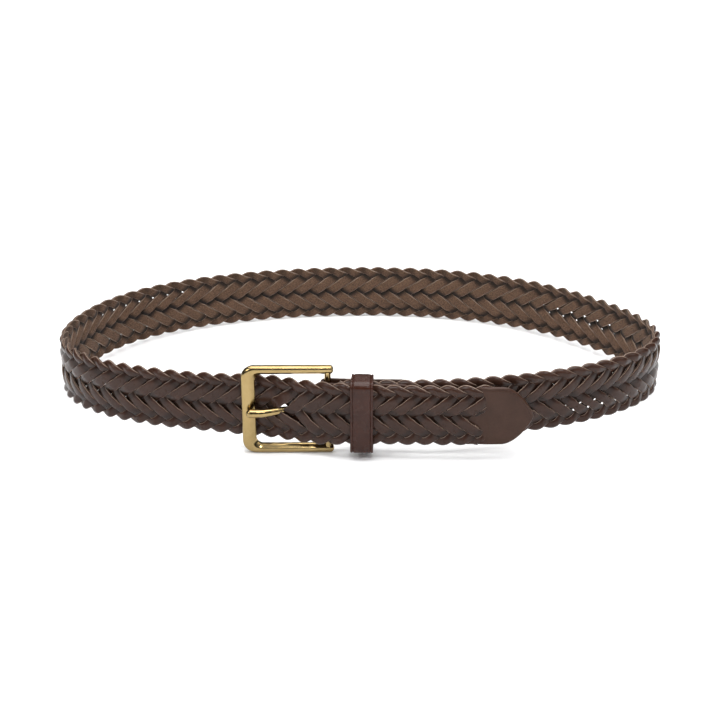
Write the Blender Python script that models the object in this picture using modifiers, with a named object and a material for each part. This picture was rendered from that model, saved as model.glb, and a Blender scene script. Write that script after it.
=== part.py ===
"""Braided leather belt with a brass frame buckle, fastened and standing on its lower edge.

Units are metres. The belt is an upright loop: its plan is an oval in X and Y, the braid's width
runs along Z, the buckle faces -Y and the free end points to +X. Places along the belt are given as
arc length on the braid's middle, from the buckle's bar over +X round the back and on over the bar
to the tip. Depth is measured outward from the middle of the braid.
"""
import math

import bmesh
import bpy
import numpy as np

# The loop, seen from above, on the middle of the braid
LOOP_HALF_WIDTH = 0.188
LOOP_HALF_DEPTH = 0.105
BAR_OFFSET = 0.019

# The braid
BELT_WIDTH = 0.036
BRAID_THICKNESS = 0.0044
STRIP_COUNT = 9
FRONT_PITCH = 0.0101
BACK_PITCH = 0.0114
EDGE_NOTCH = 0.0017
FREE_END_LENGTH = 0.0885

# The smooth tab at the free end
TAB_LENGTH = 0.0292
TAB_POINT_LENGTH = 0.0180
TAB_THICKNESS = 0.0028
TIP_STAND_OFF = 0.0165

# The folded leather that holds the bar and the end of the braid
CHAPE_LENGTH = 0.054
CHAPE_THICKNESS = 0.0016
CHAPE_END_LENGTH = 0.012

# The loop that holds the free end down
KEEPER_WIDTH = 0.0128
KEEPER_DISTANCE = 0.0135
KEEPER_THICKNESS = 0.0020
KEEPER_PLAY = 0.0021
KEEPER_DROP = 0.0011
KEEPER_CORNER = 0.0032
KEEPER_INNER_CORNER = 0.0012

# The brass buckle
FRAME_HEIGHT = 0.0548
FRAME_REACH = 0.0495
FRAME_THICKNESS = 0.0046
RAIL_HEIGHT = 0.0052
SIDE_BAR_WIDTH = 0.0080
HEEL_LENGTH = 0.0034
FRAME_CORNER = 0.0075
FRAME_EDGE = 0.0008
BAR_RADIUS = 0.0019
PRONG_RADIUS = 0.0025
PRONG_WAIST_RADIUS = 0.0018
PRONG_TIP_INSET = 0.0028
PRONG_EYE_WALL = 0.0014
PRONG_EYE_HEIGHT = 0.0042

# Clearance between neighbouring pieces
GAP = 0.0003
SLOT_GAP = 0.0005

# How far the loop reaches at each bearing, counted from +X over +Y
LOOP_REACH = (
    # bearing in degrees, share of the plain oval
    (0, 0.950),
    (30, 0.940),
    (60, 1.045),
    (90, 1.115),
    (120, 1.095),
    (150, 1.035),
    (180, 1.010),
    (210, 1.015),
    (240, 0.895),
    (270, 0.860),
    (300, 0.900),
    (330, 0.945),
)
LOOP_STEPS = 1440
LEAD_STEPS = 20

# One section of the braid, round from the top edge. The braid shows four rows of strips on each
# side, whose borders lie at one sixth, one half and five sixths of the width. Level and swing are
# shares of half the thickness: a strip's crown stands at their sum and a groove at their difference.
BRAID_SECTION = (
    # side, share of the width from the top, row, level, swing
    (0, 0.0, 1, 0.0, 0.0),
    (1, 0.055, 1, 0.62, 0.12),
    (1, 1 / 6, 1, 0.80, 0.0),
    (1, 1 / 3, 2, 0.82, 0.18),
    (1, 1 / 2, 2, 0.80, 0.0),
    (1, 2 / 3, 3, 0.82, 0.18),
    (1, 5 / 6, 3, 0.80, 0.0),
    (1, 0.945, 4, 0.62, 0.12),
    (0, 1.0, 4, 0.0, 0.0),
    (-1, 0.945, 4, 0.62, 0.12),
    (-1, 5 / 6, 3, 0.80, 0.0),
    (-1, 2 / 3, 3, 0.82, 0.18),
    (-1, 1 / 2, 2, 0.80, 0.0),
    (-1, 1 / 3, 2, 0.82, 0.18),
    (-1, 1 / 6, 1, 0.80, 0.0),
    (-1, 0.055, 1, 0.62, 0.12),
)
ROW_BORDERS = (0.0, 1 / 6, 1 / 2, 5 / 6, 1.0)
STATIONS_PER_PITCH = 2
FADE_PITCHES = 2

# Half height along the tab's point, as shares of its length and of half the belt's width
TAB_POINT = (
    # share of the point's length, share of half the width
    (0.0, 1.0),
    (0.2, 0.95),
    (0.4, 0.83),
    (0.6, 0.65),
    (0.8, 0.42),
    (0.93, 0.22),
    (1.0, 0.07),
)

# Half height along the folded leather's rounded ends
CHAPE_END = (
    # share of the end's length, share of half the width
    (0.0, 1.0),
    (0.35, 0.93),
    (0.65, 0.76),
    (0.88, 0.50),
    (1.0, 0.22),
)

# The prong's middle line, from the bar to the tip
PRONG_LINE = (
    # share of its length, share of the climb to the side bar's face, share of the full radius
    (0.06, 0.00, 0.0),
    (0.25, 0.00, 0.0),
    (0.40, 0.05, 0.1),
    (0.55, 0.32, 0.4),
    (0.65, 0.64, 0.7),
    (0.74, 0.88, 0.9),
    (0.82, 1.00, 1.0),
    (0.91, 1.03, 1.0),
    (0.97, 1.00, 0.8),
    (1.00, 0.98, 0.0),
)

PARTS = "braided_belt"
CUTTERS = "cutters"

half_thickness = BRAID_THICKNESS / 2
chape_middle = half_thickness + GAP + CHAPE_THICKNESS / 2
chape_outside = half_thickness + GAP + CHAPE_THICKNESS
layer_offset = chape_outside + GAP + half_thickness
half_belt = BELT_WIDTH / 2


def clear_scene():
    """Removes what a new file holds."""
    for item in list(bpy.data.objects):
        bpy.data.objects.remove(item, do_unlink=True)


def new_collection(name):
    """Adds a collection to the scene."""
    group = bpy.data.collections.new(name)
    bpy.context.scene.collection.children.link(group)
    return group


def new_material(name, colour, roughness, metallic=0.0):
    """Makes a plain Principled material."""
    material = bpy.data.materials.new(name)
    material.use_nodes = True
    shader = material.node_tree.nodes["Principled BSDF"]
    shader.inputs["Base Color"].default_value = (*colour, 1.0)
    shader.inputs["Roughness"].default_value = roughness
    shader.inputs["Metallic"].default_value = metallic
    return material


def smoothstep(share):
    """Eases from 0 to 1 with level ends."""
    share = np.clip(share, 0.0, 1.0)
    return share * share * (3 - 2 * share)


class BeltPlan:
    """The belt's middle line, seen from above, from the bar once round and on over it to the tip."""

    def __init__(self):
        x, y = self.trace_loop()
        steps = np.hypot(np.diff(x), np.diff(y))
        run = np.concatenate([[0.0], np.cumsum(steps)])
        out_x, out_y = self.outward(x, y)
        girth = run[-1]
        reach = girth + KEEPER_DISTANCE + FREE_END_LENGTH + TAB_LENGTH
        along = np.arange(-LEAD_STEPS, LOOP_STEPS * reach / girth) * girth / LOOP_STEPS
        turned = np.mod(along, girth)
        lift = self.lift(along, girth)
        self.x = np.interp(turned, run, x) + lift * np.interp(turned, run, out_x)
        base_y = np.interp(turned, run, y)
        self.y = base_y + lift * np.interp(turned, run, out_y)
        front_rise = (FRAME_HEIGHT - BELT_WIDTH) / 2
        self.rise = front_rise * (y.max() - base_y) / (y.max() - y[0])
        steps = np.hypot(np.diff(self.x), np.diff(self.y))
        self.length = self.run_total(steps)
        self.out_x, self.out_y = self.outward(self.x, self.y)
        self.girth = float(np.interp(girth, along, self.length))
        self.phase = self.run_total(steps / self.pitch_at(self.length[1:] - steps / 2))

    @staticmethod
    def trace_loop():
        """Gives the closed oval, from the bar over +X round to the bar again."""
        bearing = np.arange(LOOP_STEPS) * 2 * math.pi / LOOP_STEPS
        waves = np.fft.rfft([reach for _, reach in LOOP_REACH]) / len(LOOP_REACH)
        share = np.full(LOOP_STEPS, waves[0].real)
        for order, wave in enumerate(waves[1:], start=1):
            weight = 1 if 2 * order == len(LOOP_REACH) else 2
            share += weight * (wave.real * np.cos(order * bearing) - wave.imag * np.sin(order * bearing))
        x = LOOP_HALF_WIDTH * share * np.cos(bearing)
        y = LOOP_HALF_DEPTH * share * np.sin(bearing)
        x -= (x.max() + x.min()) / 2
        start = int(np.argmin(np.where(y < 0, np.abs(x + BAR_OFFSET), np.inf)))
        x, y = np.roll(x, -start), np.roll(y, -start)
        return np.append(x, x[0]), np.append(y, y[0])

    @staticmethod
    def outward(x, y):
        """Gives the directions that point out of the loop."""
        run_x, run_y = np.gradient(x), np.gradient(y)
        size = np.hypot(run_x, run_y)
        return run_y / size, -run_x / size

    @staticmethod
    def lift(along, girth):
        """Gives how far the free end lies outside the plain oval."""
        climb = FRAME_REACH - SIDE_BAR_WIDTH
        over_bar = layer_offset * smoothstep((along - girth + climb) / climb)
        free_start = girth + KEEPER_DISTANCE + KEEPER_WIDTH
        free_end = girth + FREE_END_LENGTH + TAB_LENGTH
        share = np.clip((along - free_start) / (free_end - free_start), 0.0, None)
        return over_bar + (TIP_STAND_OFF - layer_offset) * share ** 2

    @staticmethod
    def run_total(steps):
        """Adds the steps up from the bar, where the total is 0."""
        total = np.concatenate([[0.0], np.cumsum(steps)])
        return total - total[LEAD_STEPS]

    def pitch_at(self, along):
        """Gives the braid's pitch at an arc length: it is drawn out longest at the back."""
        middle = (FRONT_PITCH + BACK_PITCH) / 2
        swing = (BACK_PITCH - FRONT_PITCH) / 2
        return middle - swing * np.cos(2 * math.pi * along / self.girth)

    def place(self, along, depth):
        """Gives X and Y at an arc length and a depth."""
        x = np.interp(along, self.length, self.x) + depth * np.interp(along, self.length, self.out_x)
        y = np.interp(along, self.length, self.y) + depth * np.interp(along, self.length, self.out_y)
        return float(x), float(y)

    def point(self, along, depth, height):
        """Gives a point at an arc length, a depth and a height above the belt's lower edge."""
        x, y = self.place(along, depth)
        return x, y, height + float(np.interp(along, self.length, self.rise))

    def along_of_phase(self, phase):
        """Gives the arc length of a phase, counted in pitches from the bar."""
        return float(np.interp(phase, self.phase, self.length))

    def phase_of_along(self, along):
        """Gives the phase of an arc length."""
        return float(np.interp(along, self.length, self.phase))

    def heading(self, along):
        """Gives the bearing of the belt's run, in radians from +X."""
        out_x = np.interp(along, self.length, self.out_x)
        out_y = np.interp(along, self.length, self.out_y)
        return math.atan2(out_x, -out_y)


def add_mesh_object(name, vertices, faces, group, material=None, parent=None):
    """Makes an object from points and faces, with its faces turned outward."""
    mesh = bpy.data.meshes.new(name)
    mesh.from_pydata(vertices, [], faces)
    work = bmesh.new()
    work.from_mesh(mesh)
    bmesh.ops.recalc_face_normals(work, faces=work.faces)
    work.to_mesh(mesh)
    work.free()
    item = bpy.data.objects.new(name, mesh)
    group.objects.link(item)
    if material:
        mesh.materials.append(material)
    item.parent = parent
    return item


def curve_to_mesh(curve_object, group):
    """Turns a curve object into a closed mesh object at the same place."""
    bpy.context.view_layer.update()
    name = curve_object.name
    evaluated = curve_object.evaluated_get(bpy.context.evaluated_depsgraph_get())
    mesh = bpy.data.meshes.new_from_object(evaluated)
    work = bmesh.new()
    work.from_mesh(mesh)
    bmesh.ops.remove_doubles(work, verts=work.verts, dist=1e-6)
    bmesh.ops.recalc_face_normals(work, faces=work.faces)
    work.to_mesh(mesh)
    work.free()
    parent = curve_object.parent
    matrix = curve_object.matrix_world.copy()
    bpy.data.objects.remove(curve_object, do_unlink=True)
    item = bpy.data.objects.new(name, mesh)
    group.objects.link(item)
    item.parent = parent
    if parent:
        item.matrix_parent_inverse = parent.matrix_world.inverted()
    item.matrix_world = matrix
    return item


def arc_points(centre, radius, start, end, steps):
    """Gives points on an arc, with its angles in degrees."""
    points = []
    for step in range(steps + 1):
        angle = math.radians(start + (end - start) * step / steps)
        points.append((centre[0] + radius * math.cos(angle), centre[1] + radius * math.sin(angle)))
    return points


def rounded_rectangle(left, right, bottom, top, radius, steps=5):
    """Gives the outline of a rectangle with round corners."""
    corners = (
        (right - radius, top - radius, 0),
        (left + radius, top - radius, 90),
        (left + radius, bottom + radius, 180),
        (right - radius, bottom + radius, 270),
    )
    points = []
    for x, y, start in corners:
        points += arc_points((x, y), radius, start, start + 90, steps)
    return points


def flat_outline(name, outlines, thickness, group, edge=0.0):
    """Makes a flat plate from closed outlines, with its edges rounded by a small radius."""
    curve = bpy.data.curves.new(name, "CURVE")
    curve.dimensions = "2D"
    curve.fill_mode = "BOTH"
    curve.extrude = thickness / 2 - edge
    curve.bevel_depth = edge
    curve.bevel_resolution = 1
    curve.offset = -edge
    for outline in outlines:
        spline = curve.splines.new("POLY")
        spline.points.add(len(outline) - 1)
        for point, (x, y) in zip(spline.points, outline):
            point.co = (x, y, 0.0, 1.0)
        spline.use_cyclic_u = True
    item = bpy.data.objects.new(name, curve)
    group.objects.link(item)
    return item


def smooth(item, angle=35):
    """Shades an object smooth but for its sharp edges."""
    item.data.shade_smooth()
    item.data.set_sharp_from_angle(angle=math.radians(angle))


def add_solidify(item, thickness):
    """Gives an open surface its thickness, half to each side."""
    modifier = item.modifiers.new("leather", "SOLIDIFY")
    modifier.thickness = thickness
    modifier.offset = 0.0
    modifier.use_even_offset = True


def add_boolean(item, cutter, operation):
    """Cuts an object with another one or joins it to it."""
    modifier = item.modifiers.new(operation.lower(), "BOOLEAN")
    modifier.operation = operation
    modifier.solver = "EXACT"
    modifier.object = cutter


def hide_cutter(item):
    """Marks an object as a tool that only shapes others."""
    item.hide_render = True
    item.display_type = "WIRE"


def strip_slant(share):
    """Gives how far the strips run along the belt at a share of its width, in pitches."""
    swing = STRIP_COUNT / 12
    return float(np.interp(share, ROW_BORDERS, (0.0, swing, -swing, swing, 0.0)))


def braid_point(plan, phase, fade, station, row):
    """Gives the point of one line of the braid's section."""
    side, share, band, level, swing = row
    crown = 1 if (station + band) % 2 else -1
    along = plan.along_of_phase(phase + fade * side * strip_slant(share))
    notch = EDGE_NOTCH * (1 - crown) / 2 if side == 0 else 0.0
    height = BELT_WIDTH * (1 - share) + (notch if share > 0.5 else -notch)
    return plan.point(along, side * half_thickness * (level + swing * crown), height)


def build_braided_strap(plan, group, material, parent):
    """Makes the woven band, from the end in the folded leather round to the tab."""
    start = plan.phase_of_along(chape_middle + BAR_RADIUS + PRONG_EYE_WALL)
    end = plan.phase_of_along(plan.girth + FREE_END_LENGTH)
    count = round((end - start) * STATIONS_PER_PITCH)
    vertices = []
    for station in range(count + 1):
        phase = start + (end - start) * station / count
        fade = min(1.0, (phase - start) / FADE_PITCHES, (end - phase) / FADE_PITCHES)
        vertices += [braid_point(plan, phase, fade, station, row) for row in BRAID_SECTION]
    ring = len(BRAID_SECTION)
    faces = [tuple(range(ring)), tuple(range(count * ring, (count + 1) * ring))]
    for station in range(count):
        for line in range(ring):
            a = station * ring + line
            b = station * ring + (line + 1) % ring
            faces.append((a, b, b + ring, a + ring))
    item = add_mesh_object("braided_strap", vertices, faces, group, material, parent)
    smooth(item, 50)
    return item


def build_end_tab(plan, group, material, parent):
    """Makes the smooth pointed tab at the free end."""
    start = plan.girth + FREE_END_LENGTH + GAP
    straight = TAB_LENGTH - TAB_POINT_LENGTH
    columns = [(start + straight * step / 3, 1.0) for step in range(3)]
    columns += [(start + straight + TAB_POINT_LENGTH * share, height) for share, height in TAB_POINT]
    rows = 6
    vertices = []
    for along, height in columns:
        for row in range(rows + 1):
            offset = half_belt * height * (2 * row / rows - 1)
            vertices.append(plan.point(along, 0.0, half_belt + offset))
    item = add_mesh_object("end_tab", vertices, grid_faces(len(columns), rows + 1), group, material, parent)
    add_solidify(item, TAB_THICKNESS)
    return item


def grid_faces(columns, rows):
    """Gives the faces of a sheet of points in columns."""
    faces = []
    for column in range(columns - 1):
        for row in range(rows - 1):
            a = column * rows + row
            faces.append((a, a + rows, a + rows + 1, a + 1))
    return faces


def chape_columns():
    """Gives the folded leather's columns: arc length, depth and share of the height."""
    straight_end = CHAPE_LENGTH - CHAPE_END_LENGTH
    panel = [(straight_end * step / 6, 1.0) for step in range(6)]
    panel += [(straight_end + CHAPE_END_LENGTH * share, height) for share, height in CHAPE_END]
    columns = [(along, chape_middle, height) for along, height in reversed(panel)]
    for step in range(1, 8):
        angle = math.pi * step / 8
        columns.append((-chape_middle * math.sin(angle), chape_middle * math.cos(angle), 1.0))
    columns += [(along, -chape_middle, height) for along, height in panel]
    return columns


def build_chape(plan, group, cutters, material, parent):
    """Makes the leather folded round the bar, with a slot for the prong."""
    rows = 6
    vertices = []
    columns = chape_columns()
    for along, depth, height in columns:
        for row in range(rows + 1):
            offset = half_belt * height * (2 * row / rows - 1)
            vertices.append(plan.point(along, depth, half_belt + offset))
    item = add_mesh_object("chape", vertices, grid_faces(len(columns), rows + 1), group, material, parent)
    add_solidify(item, CHAPE_THICKNESS)
    slot = slot_cutter(plan, cutters, parent)
    add_boolean(item, slot, "DIFFERENCE")
    return item


def slot_cutter(plan, cutters, parent):
    """Makes the box that opens the fold where the prong turns on the bar."""
    eye = BAR_RADIUS + GAP + PRONG_EYE_WALL
    bpy.ops.mesh.primitive_cube_add(size=1.0)
    slot = bpy.context.object
    slot.name = "slot_cutter"
    move_to(slot, cutters)
    reach = chape_outside + SLOT_GAP
    slot.dimensions = (reach + eye + SLOT_GAP, 4 * reach, PRONG_EYE_HEIGHT + 2 * SLOT_GAP)
    middle = (eye - chape_outside) / 2
    slot.location = plan.point(middle, 0.0, half_belt)
    slot.rotation_euler.z = plan.heading(0.0)
    slot.parent = parent
    hide_cutter(slot)
    return slot


def move_to(item, group):
    """Moves an object from its collections to another one."""
    for old in list(item.users_collection):
        old.objects.unlink(item)
    group.objects.link(item)


def build_keeper(plan, group, material, parent):
    """Makes the smooth loop round the folded leather and the free end."""
    inside = -chape_outside - GAP
    outside = layer_offset + half_thickness + GAP
    half = half_belt + KEEPER_PLAY
    wall = KEEPER_THICKNESS
    outer = rounded_rectangle(inside - wall, outside + wall, -half - wall, half + wall, KEEPER_CORNER)
    inner = rounded_rectangle(inside, outside, -half, half, KEEPER_INNER_CORNER, 3)
    curve = flat_outline("keeper_loop", [outer, inner], KEEPER_WIDTH, group)
    curve.parent = parent
    middle = KEEPER_DISTANCE + KEEPER_WIDTH / 2
    curve.location = plan.point(middle, 0.0, half_belt - KEEPER_DROP)
    curve.rotation_euler = (math.pi / 2, 0.0, plan.heading(middle) - math.pi / 2)
    item = curve_to_mesh(curve, group)
    item.data.materials.append(material)
    smooth(item)
    return item


def buckle_base(plan, group, parent):
    """Adds the empty that holds the buckle: +X runs from the bar to the side bar, +Z outward."""
    side_middle = FRAME_REACH - SIDE_BAR_WIDTH / 2
    side_inner = FRAME_REACH - SIDE_BAR_WIDTH
    seat = half_thickness + GAP + FRAME_THICKNESS / 2
    lift = seat * side_middle / side_inner + GAP
    bar_x, bar_y, bar_z = plan.point(0.0, 0.0, half_belt)
    side_x, side_y = plan.place(plan.girth - side_middle, lift)
    base = bpy.data.objects.new("buckle", None)
    base.empty_display_size = BELT_WIDTH / 2
    group.objects.link(base)
    base.parent = parent
    base.location = (bar_x, bar_y, bar_z)
    turn = math.atan2(side_y - bar_y, side_x - bar_x)
    base.rotation_euler = (-math.pi / 2, 0.0, turn)
    return base


def frame_outline():
    """Gives the buckle frame's outline, open at the heel: two rails and the side bar."""
    half = FRAME_HEIGHT / 2
    inner = half - RAIL_HEIGHT
    side = FRAME_REACH - SIDE_BAR_WIDTH
    corner = FRAME_CORNER
    small = FRAME_CORNER - (RAIL_HEIGHT + SIDE_BAR_WIDTH) / 4
    heel = RAIL_HEIGHT / 2
    end = -HEEL_LENGTH + heel
    points = arc_points((FRAME_REACH - corner, half - corner), corner, 0, 90, 6)
    points += arc_points((end, half - heel), heel * 0.999, 90, 270, 6)
    points += arc_points((side - small, inner - small), small, 90, 0, 5)
    points += arc_points((side - small, small - inner), small, 0, -90, 5)
    points += arc_points((end, heel - half), heel * 0.999, 90, 270, 6)
    points += arc_points((FRAME_REACH - corner, corner - half), corner, 270, 360, 6)
    return points


def build_frame(group, cutters, material, base):
    """Makes the brass frame with the round bar at its heel."""
    curve = flat_outline("buckle_frame", [frame_outline()], FRAME_THICKNESS, group, FRAME_EDGE)
    curve.parent = base
    item = curve_to_mesh(curve, group)
    item.data.materials.append(material)
    bpy.ops.mesh.primitive_cylinder_add(vertices=20, radius=BAR_RADIUS, depth=FRAME_HEIGHT - RAIL_HEIGHT)
    bar = bpy.context.object
    bar.name = "bar_cutter"
    move_to(bar, cutters)
    bar.parent = base
    bar.rotation_euler.x = math.pi / 2
    hide_cutter(bar)
    add_boolean(item, bar, "UNION")
    return item


def prong_curve(name, group, base, extra=0.0):
    """Makes the prong's round shank, its radius widened by an extra amount."""
    length = FRAME_REACH - PRONG_TIP_INSET
    climb = FRAME_THICKNESS / 2 + GAP + PRONG_RADIUS
    curve = bpy.data.curves.new(name, "CURVE")
    curve.dimensions = "3D"
    curve.bevel_depth = 1.0
    curve.bevel_resolution = 3
    curve.use_fill_caps = True
    spline = curve.splines.new("POLY")
    spline.points.add(len(PRONG_LINE) - 1)
    for point, (share, height, full) in zip(spline.points, PRONG_LINE):
        point.co = (length * share, 0.0, climb * height, 1.0)
        radius = PRONG_WAIST_RADIUS + (PRONG_RADIUS - PRONG_WAIST_RADIUS) * full
        point.radius = radius + extra
    spline.points[-1].radius = PRONG_WAIST_RADIUS * 0.55 + extra
    item = bpy.data.objects.new(name, curve)
    group.objects.link(item)
    item.parent = base
    return item


def build_prong(group, cutters, material, base):
    """Makes the prong: an eye round the bar and a shank that rests on the side bar."""
    curve = prong_curve("buckle_prong", group, base)
    item = curve_to_mesh(curve, group)
    item.data.materials.append(material)
    eye_radius = BAR_RADIUS + GAP + PRONG_EYE_WALL
    for name, radius, depth, operation in (
        ("eye_cutter", eye_radius, PRONG_EYE_HEIGHT, "UNION"),
        ("bore_cutter", BAR_RADIUS + GAP, 2 * PRONG_EYE_HEIGHT, "DIFFERENCE"),
    ):
        bpy.ops.mesh.primitive_cylinder_add(vertices=24, radius=radius, depth=depth)
        tool = bpy.context.object
        tool.name = name
        move_to(tool, cutters)
        tool.parent = base
        tool.rotation_euler.x = math.pi / 2
        hide_cutter(tool)
        add_boolean(item, tool, operation)
    return item


def cut_prong_hole(strap, cutters, base):
    """Opens the braid where the prong passes through it."""
    curve = prong_curve("hole_cutter", cutters, base, SLOT_GAP)
    cutter = curve_to_mesh(curve, cutters)
    hide_cutter(cutter)
    add_boolean(strap, cutter, "DIFFERENCE")


def centre_on_origin(root, group):
    """Moves the whole belt so that the middle of its base is the origin."""
    bpy.context.view_layer.update()
    graph = bpy.context.evaluated_depsgraph_get()
    corners = []
    for item in group.objects:
        if item.type == "MESH":
            evaluated = item.evaluated_get(graph)
            corners += [evaluated.matrix_world @ vertex.co for vertex in evaluated.data.vertices]
    low = [min(corner[axis] for corner in corners) for axis in range(3)]
    high = [max(corner[axis] for corner in corners) for axis in range(3)]
    root.location = (-(low[0] + high[0]) / 2, -(low[1] + high[1]) / 2, -low[2])


def main():
    """Builds the belt."""
    clear_scene()
    group = new_collection(PARTS)
    cutters = new_collection(CUTTERS)
    braid_leather = new_material("braid_leather", (0.055, 0.033, 0.026), 0.5)
    smooth_leather = new_material("smooth_leather", (0.060, 0.030, 0.024), 0.4)
    keeper_leather = new_material("keeper_leather", (0.060, 0.026, 0.020), 0.3)
    brass = new_material("brass", (0.62, 0.46, 0.22), 0.28, 1.0)
    root = bpy.data.objects.new("belt", None)
    group.objects.link(root)
    plan = BeltPlan()
    strap = build_braided_strap(plan, group, braid_leather, root)
    build_end_tab(plan, group, smooth_leather, root)
    build_chape(plan, group, cutters, smooth_leather, root)
    build_keeper(plan, group, keeper_leather, root)
    base = buckle_base(plan, group, root)
    bpy.context.view_layer.update()
    build_frame(group, cutters, brass, base)
    build_prong(group, cutters, brass, base)
    cut_prong_hole(strap, cutters, base)
    centre_on_origin(root, group)


main()
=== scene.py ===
"""Looks of a braided leather belt with a brass buckle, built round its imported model.

Lengths are metres, +Z is up, the buckle faces -Y and the free end points to +X. A place on the
belt is an arc length from the buckle's bar, a depth outward from the middle of the braid and a
height above the strap's lower edge. The braid itself is laid out in pitches, the spacing of the
loops along its edges.
"""
import logging
import math
from collections.abc import Callable
from dataclasses import dataclass, field
from enum import Enum, IntEnum

import bmesh
import bpy
import numpy as np
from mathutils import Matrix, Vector


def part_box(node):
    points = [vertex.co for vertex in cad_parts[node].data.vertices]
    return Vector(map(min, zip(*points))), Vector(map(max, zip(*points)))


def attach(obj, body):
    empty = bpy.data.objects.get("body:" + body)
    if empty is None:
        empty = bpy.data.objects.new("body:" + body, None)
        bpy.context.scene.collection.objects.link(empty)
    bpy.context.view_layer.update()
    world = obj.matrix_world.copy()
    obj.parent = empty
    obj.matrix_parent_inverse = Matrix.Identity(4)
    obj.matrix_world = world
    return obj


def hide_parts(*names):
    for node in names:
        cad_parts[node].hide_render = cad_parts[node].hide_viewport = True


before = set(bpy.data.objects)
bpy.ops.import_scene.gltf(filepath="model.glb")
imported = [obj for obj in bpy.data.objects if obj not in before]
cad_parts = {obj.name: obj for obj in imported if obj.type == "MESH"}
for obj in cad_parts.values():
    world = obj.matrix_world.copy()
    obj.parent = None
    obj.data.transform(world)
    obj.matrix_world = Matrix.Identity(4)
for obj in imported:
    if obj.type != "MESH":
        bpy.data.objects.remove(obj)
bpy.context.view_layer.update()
LOG = logging.getLogger("braided_belt")

Colour = tuple[float, float, float]
Place = tuple[float, float, float]
Socket = bpy.types.NodeSocket | float
FaceDepth = Callable[[np.ndarray], np.ndarray]

WAVE_OCTAVES = 4
WAVE_SPREAD = (0.6, 1.7)
WAVE_FALL = 0.5
WAVE_PEAK = 2.3
NOISE_LOW = 0.3
NOISE_HIGH = 0.7


class StripFace(IntEnum):
    """The faces of a leather strip, in the order of its material slots."""

    GRAIN = 0
    CUT_EDGE = 1
    FLESH = 2
    # pale rounded corners: partly raw edge colour, partly painted highlight where the edges would catch the
    # light
    RIM = 3


class Layer(Enum):
    """The side of the braid that something lies on, by the sign of its depth."""

    OUTSIDE = 1
    INSIDE = -1


def smoothstep(share: np.ndarray | float) -> np.ndarray:
    """Eases from 0 to 1 with level ends."""
    share = np.clip(share, 0.0, 1.0)
    return share * share * (3 - 2 * share)


def waves(where: np.ndarray, length: float, seed: int) -> np.ndarray:
    """Makes a smooth irregular wave between about -1 and 1.

    Args:
        where: Places along a line.
        length: The mean length of a wave.
        seed: A number that picks the wave.

    Returns:
        The wave's height at each place.
    """
    random = np.random.default_rng(seed)
    total = np.zeros_like(where, dtype=float)
    for octave in range(WAVE_OCTAVES):
        turns = 2 * math.pi / (length * random.uniform(*WAVE_SPREAD))
        total += np.sin(where * turns + random.uniform(0, 2 * math.pi)) / (1 + WAVE_FALL * octave)
    return total / WAVE_PEAK


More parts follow.
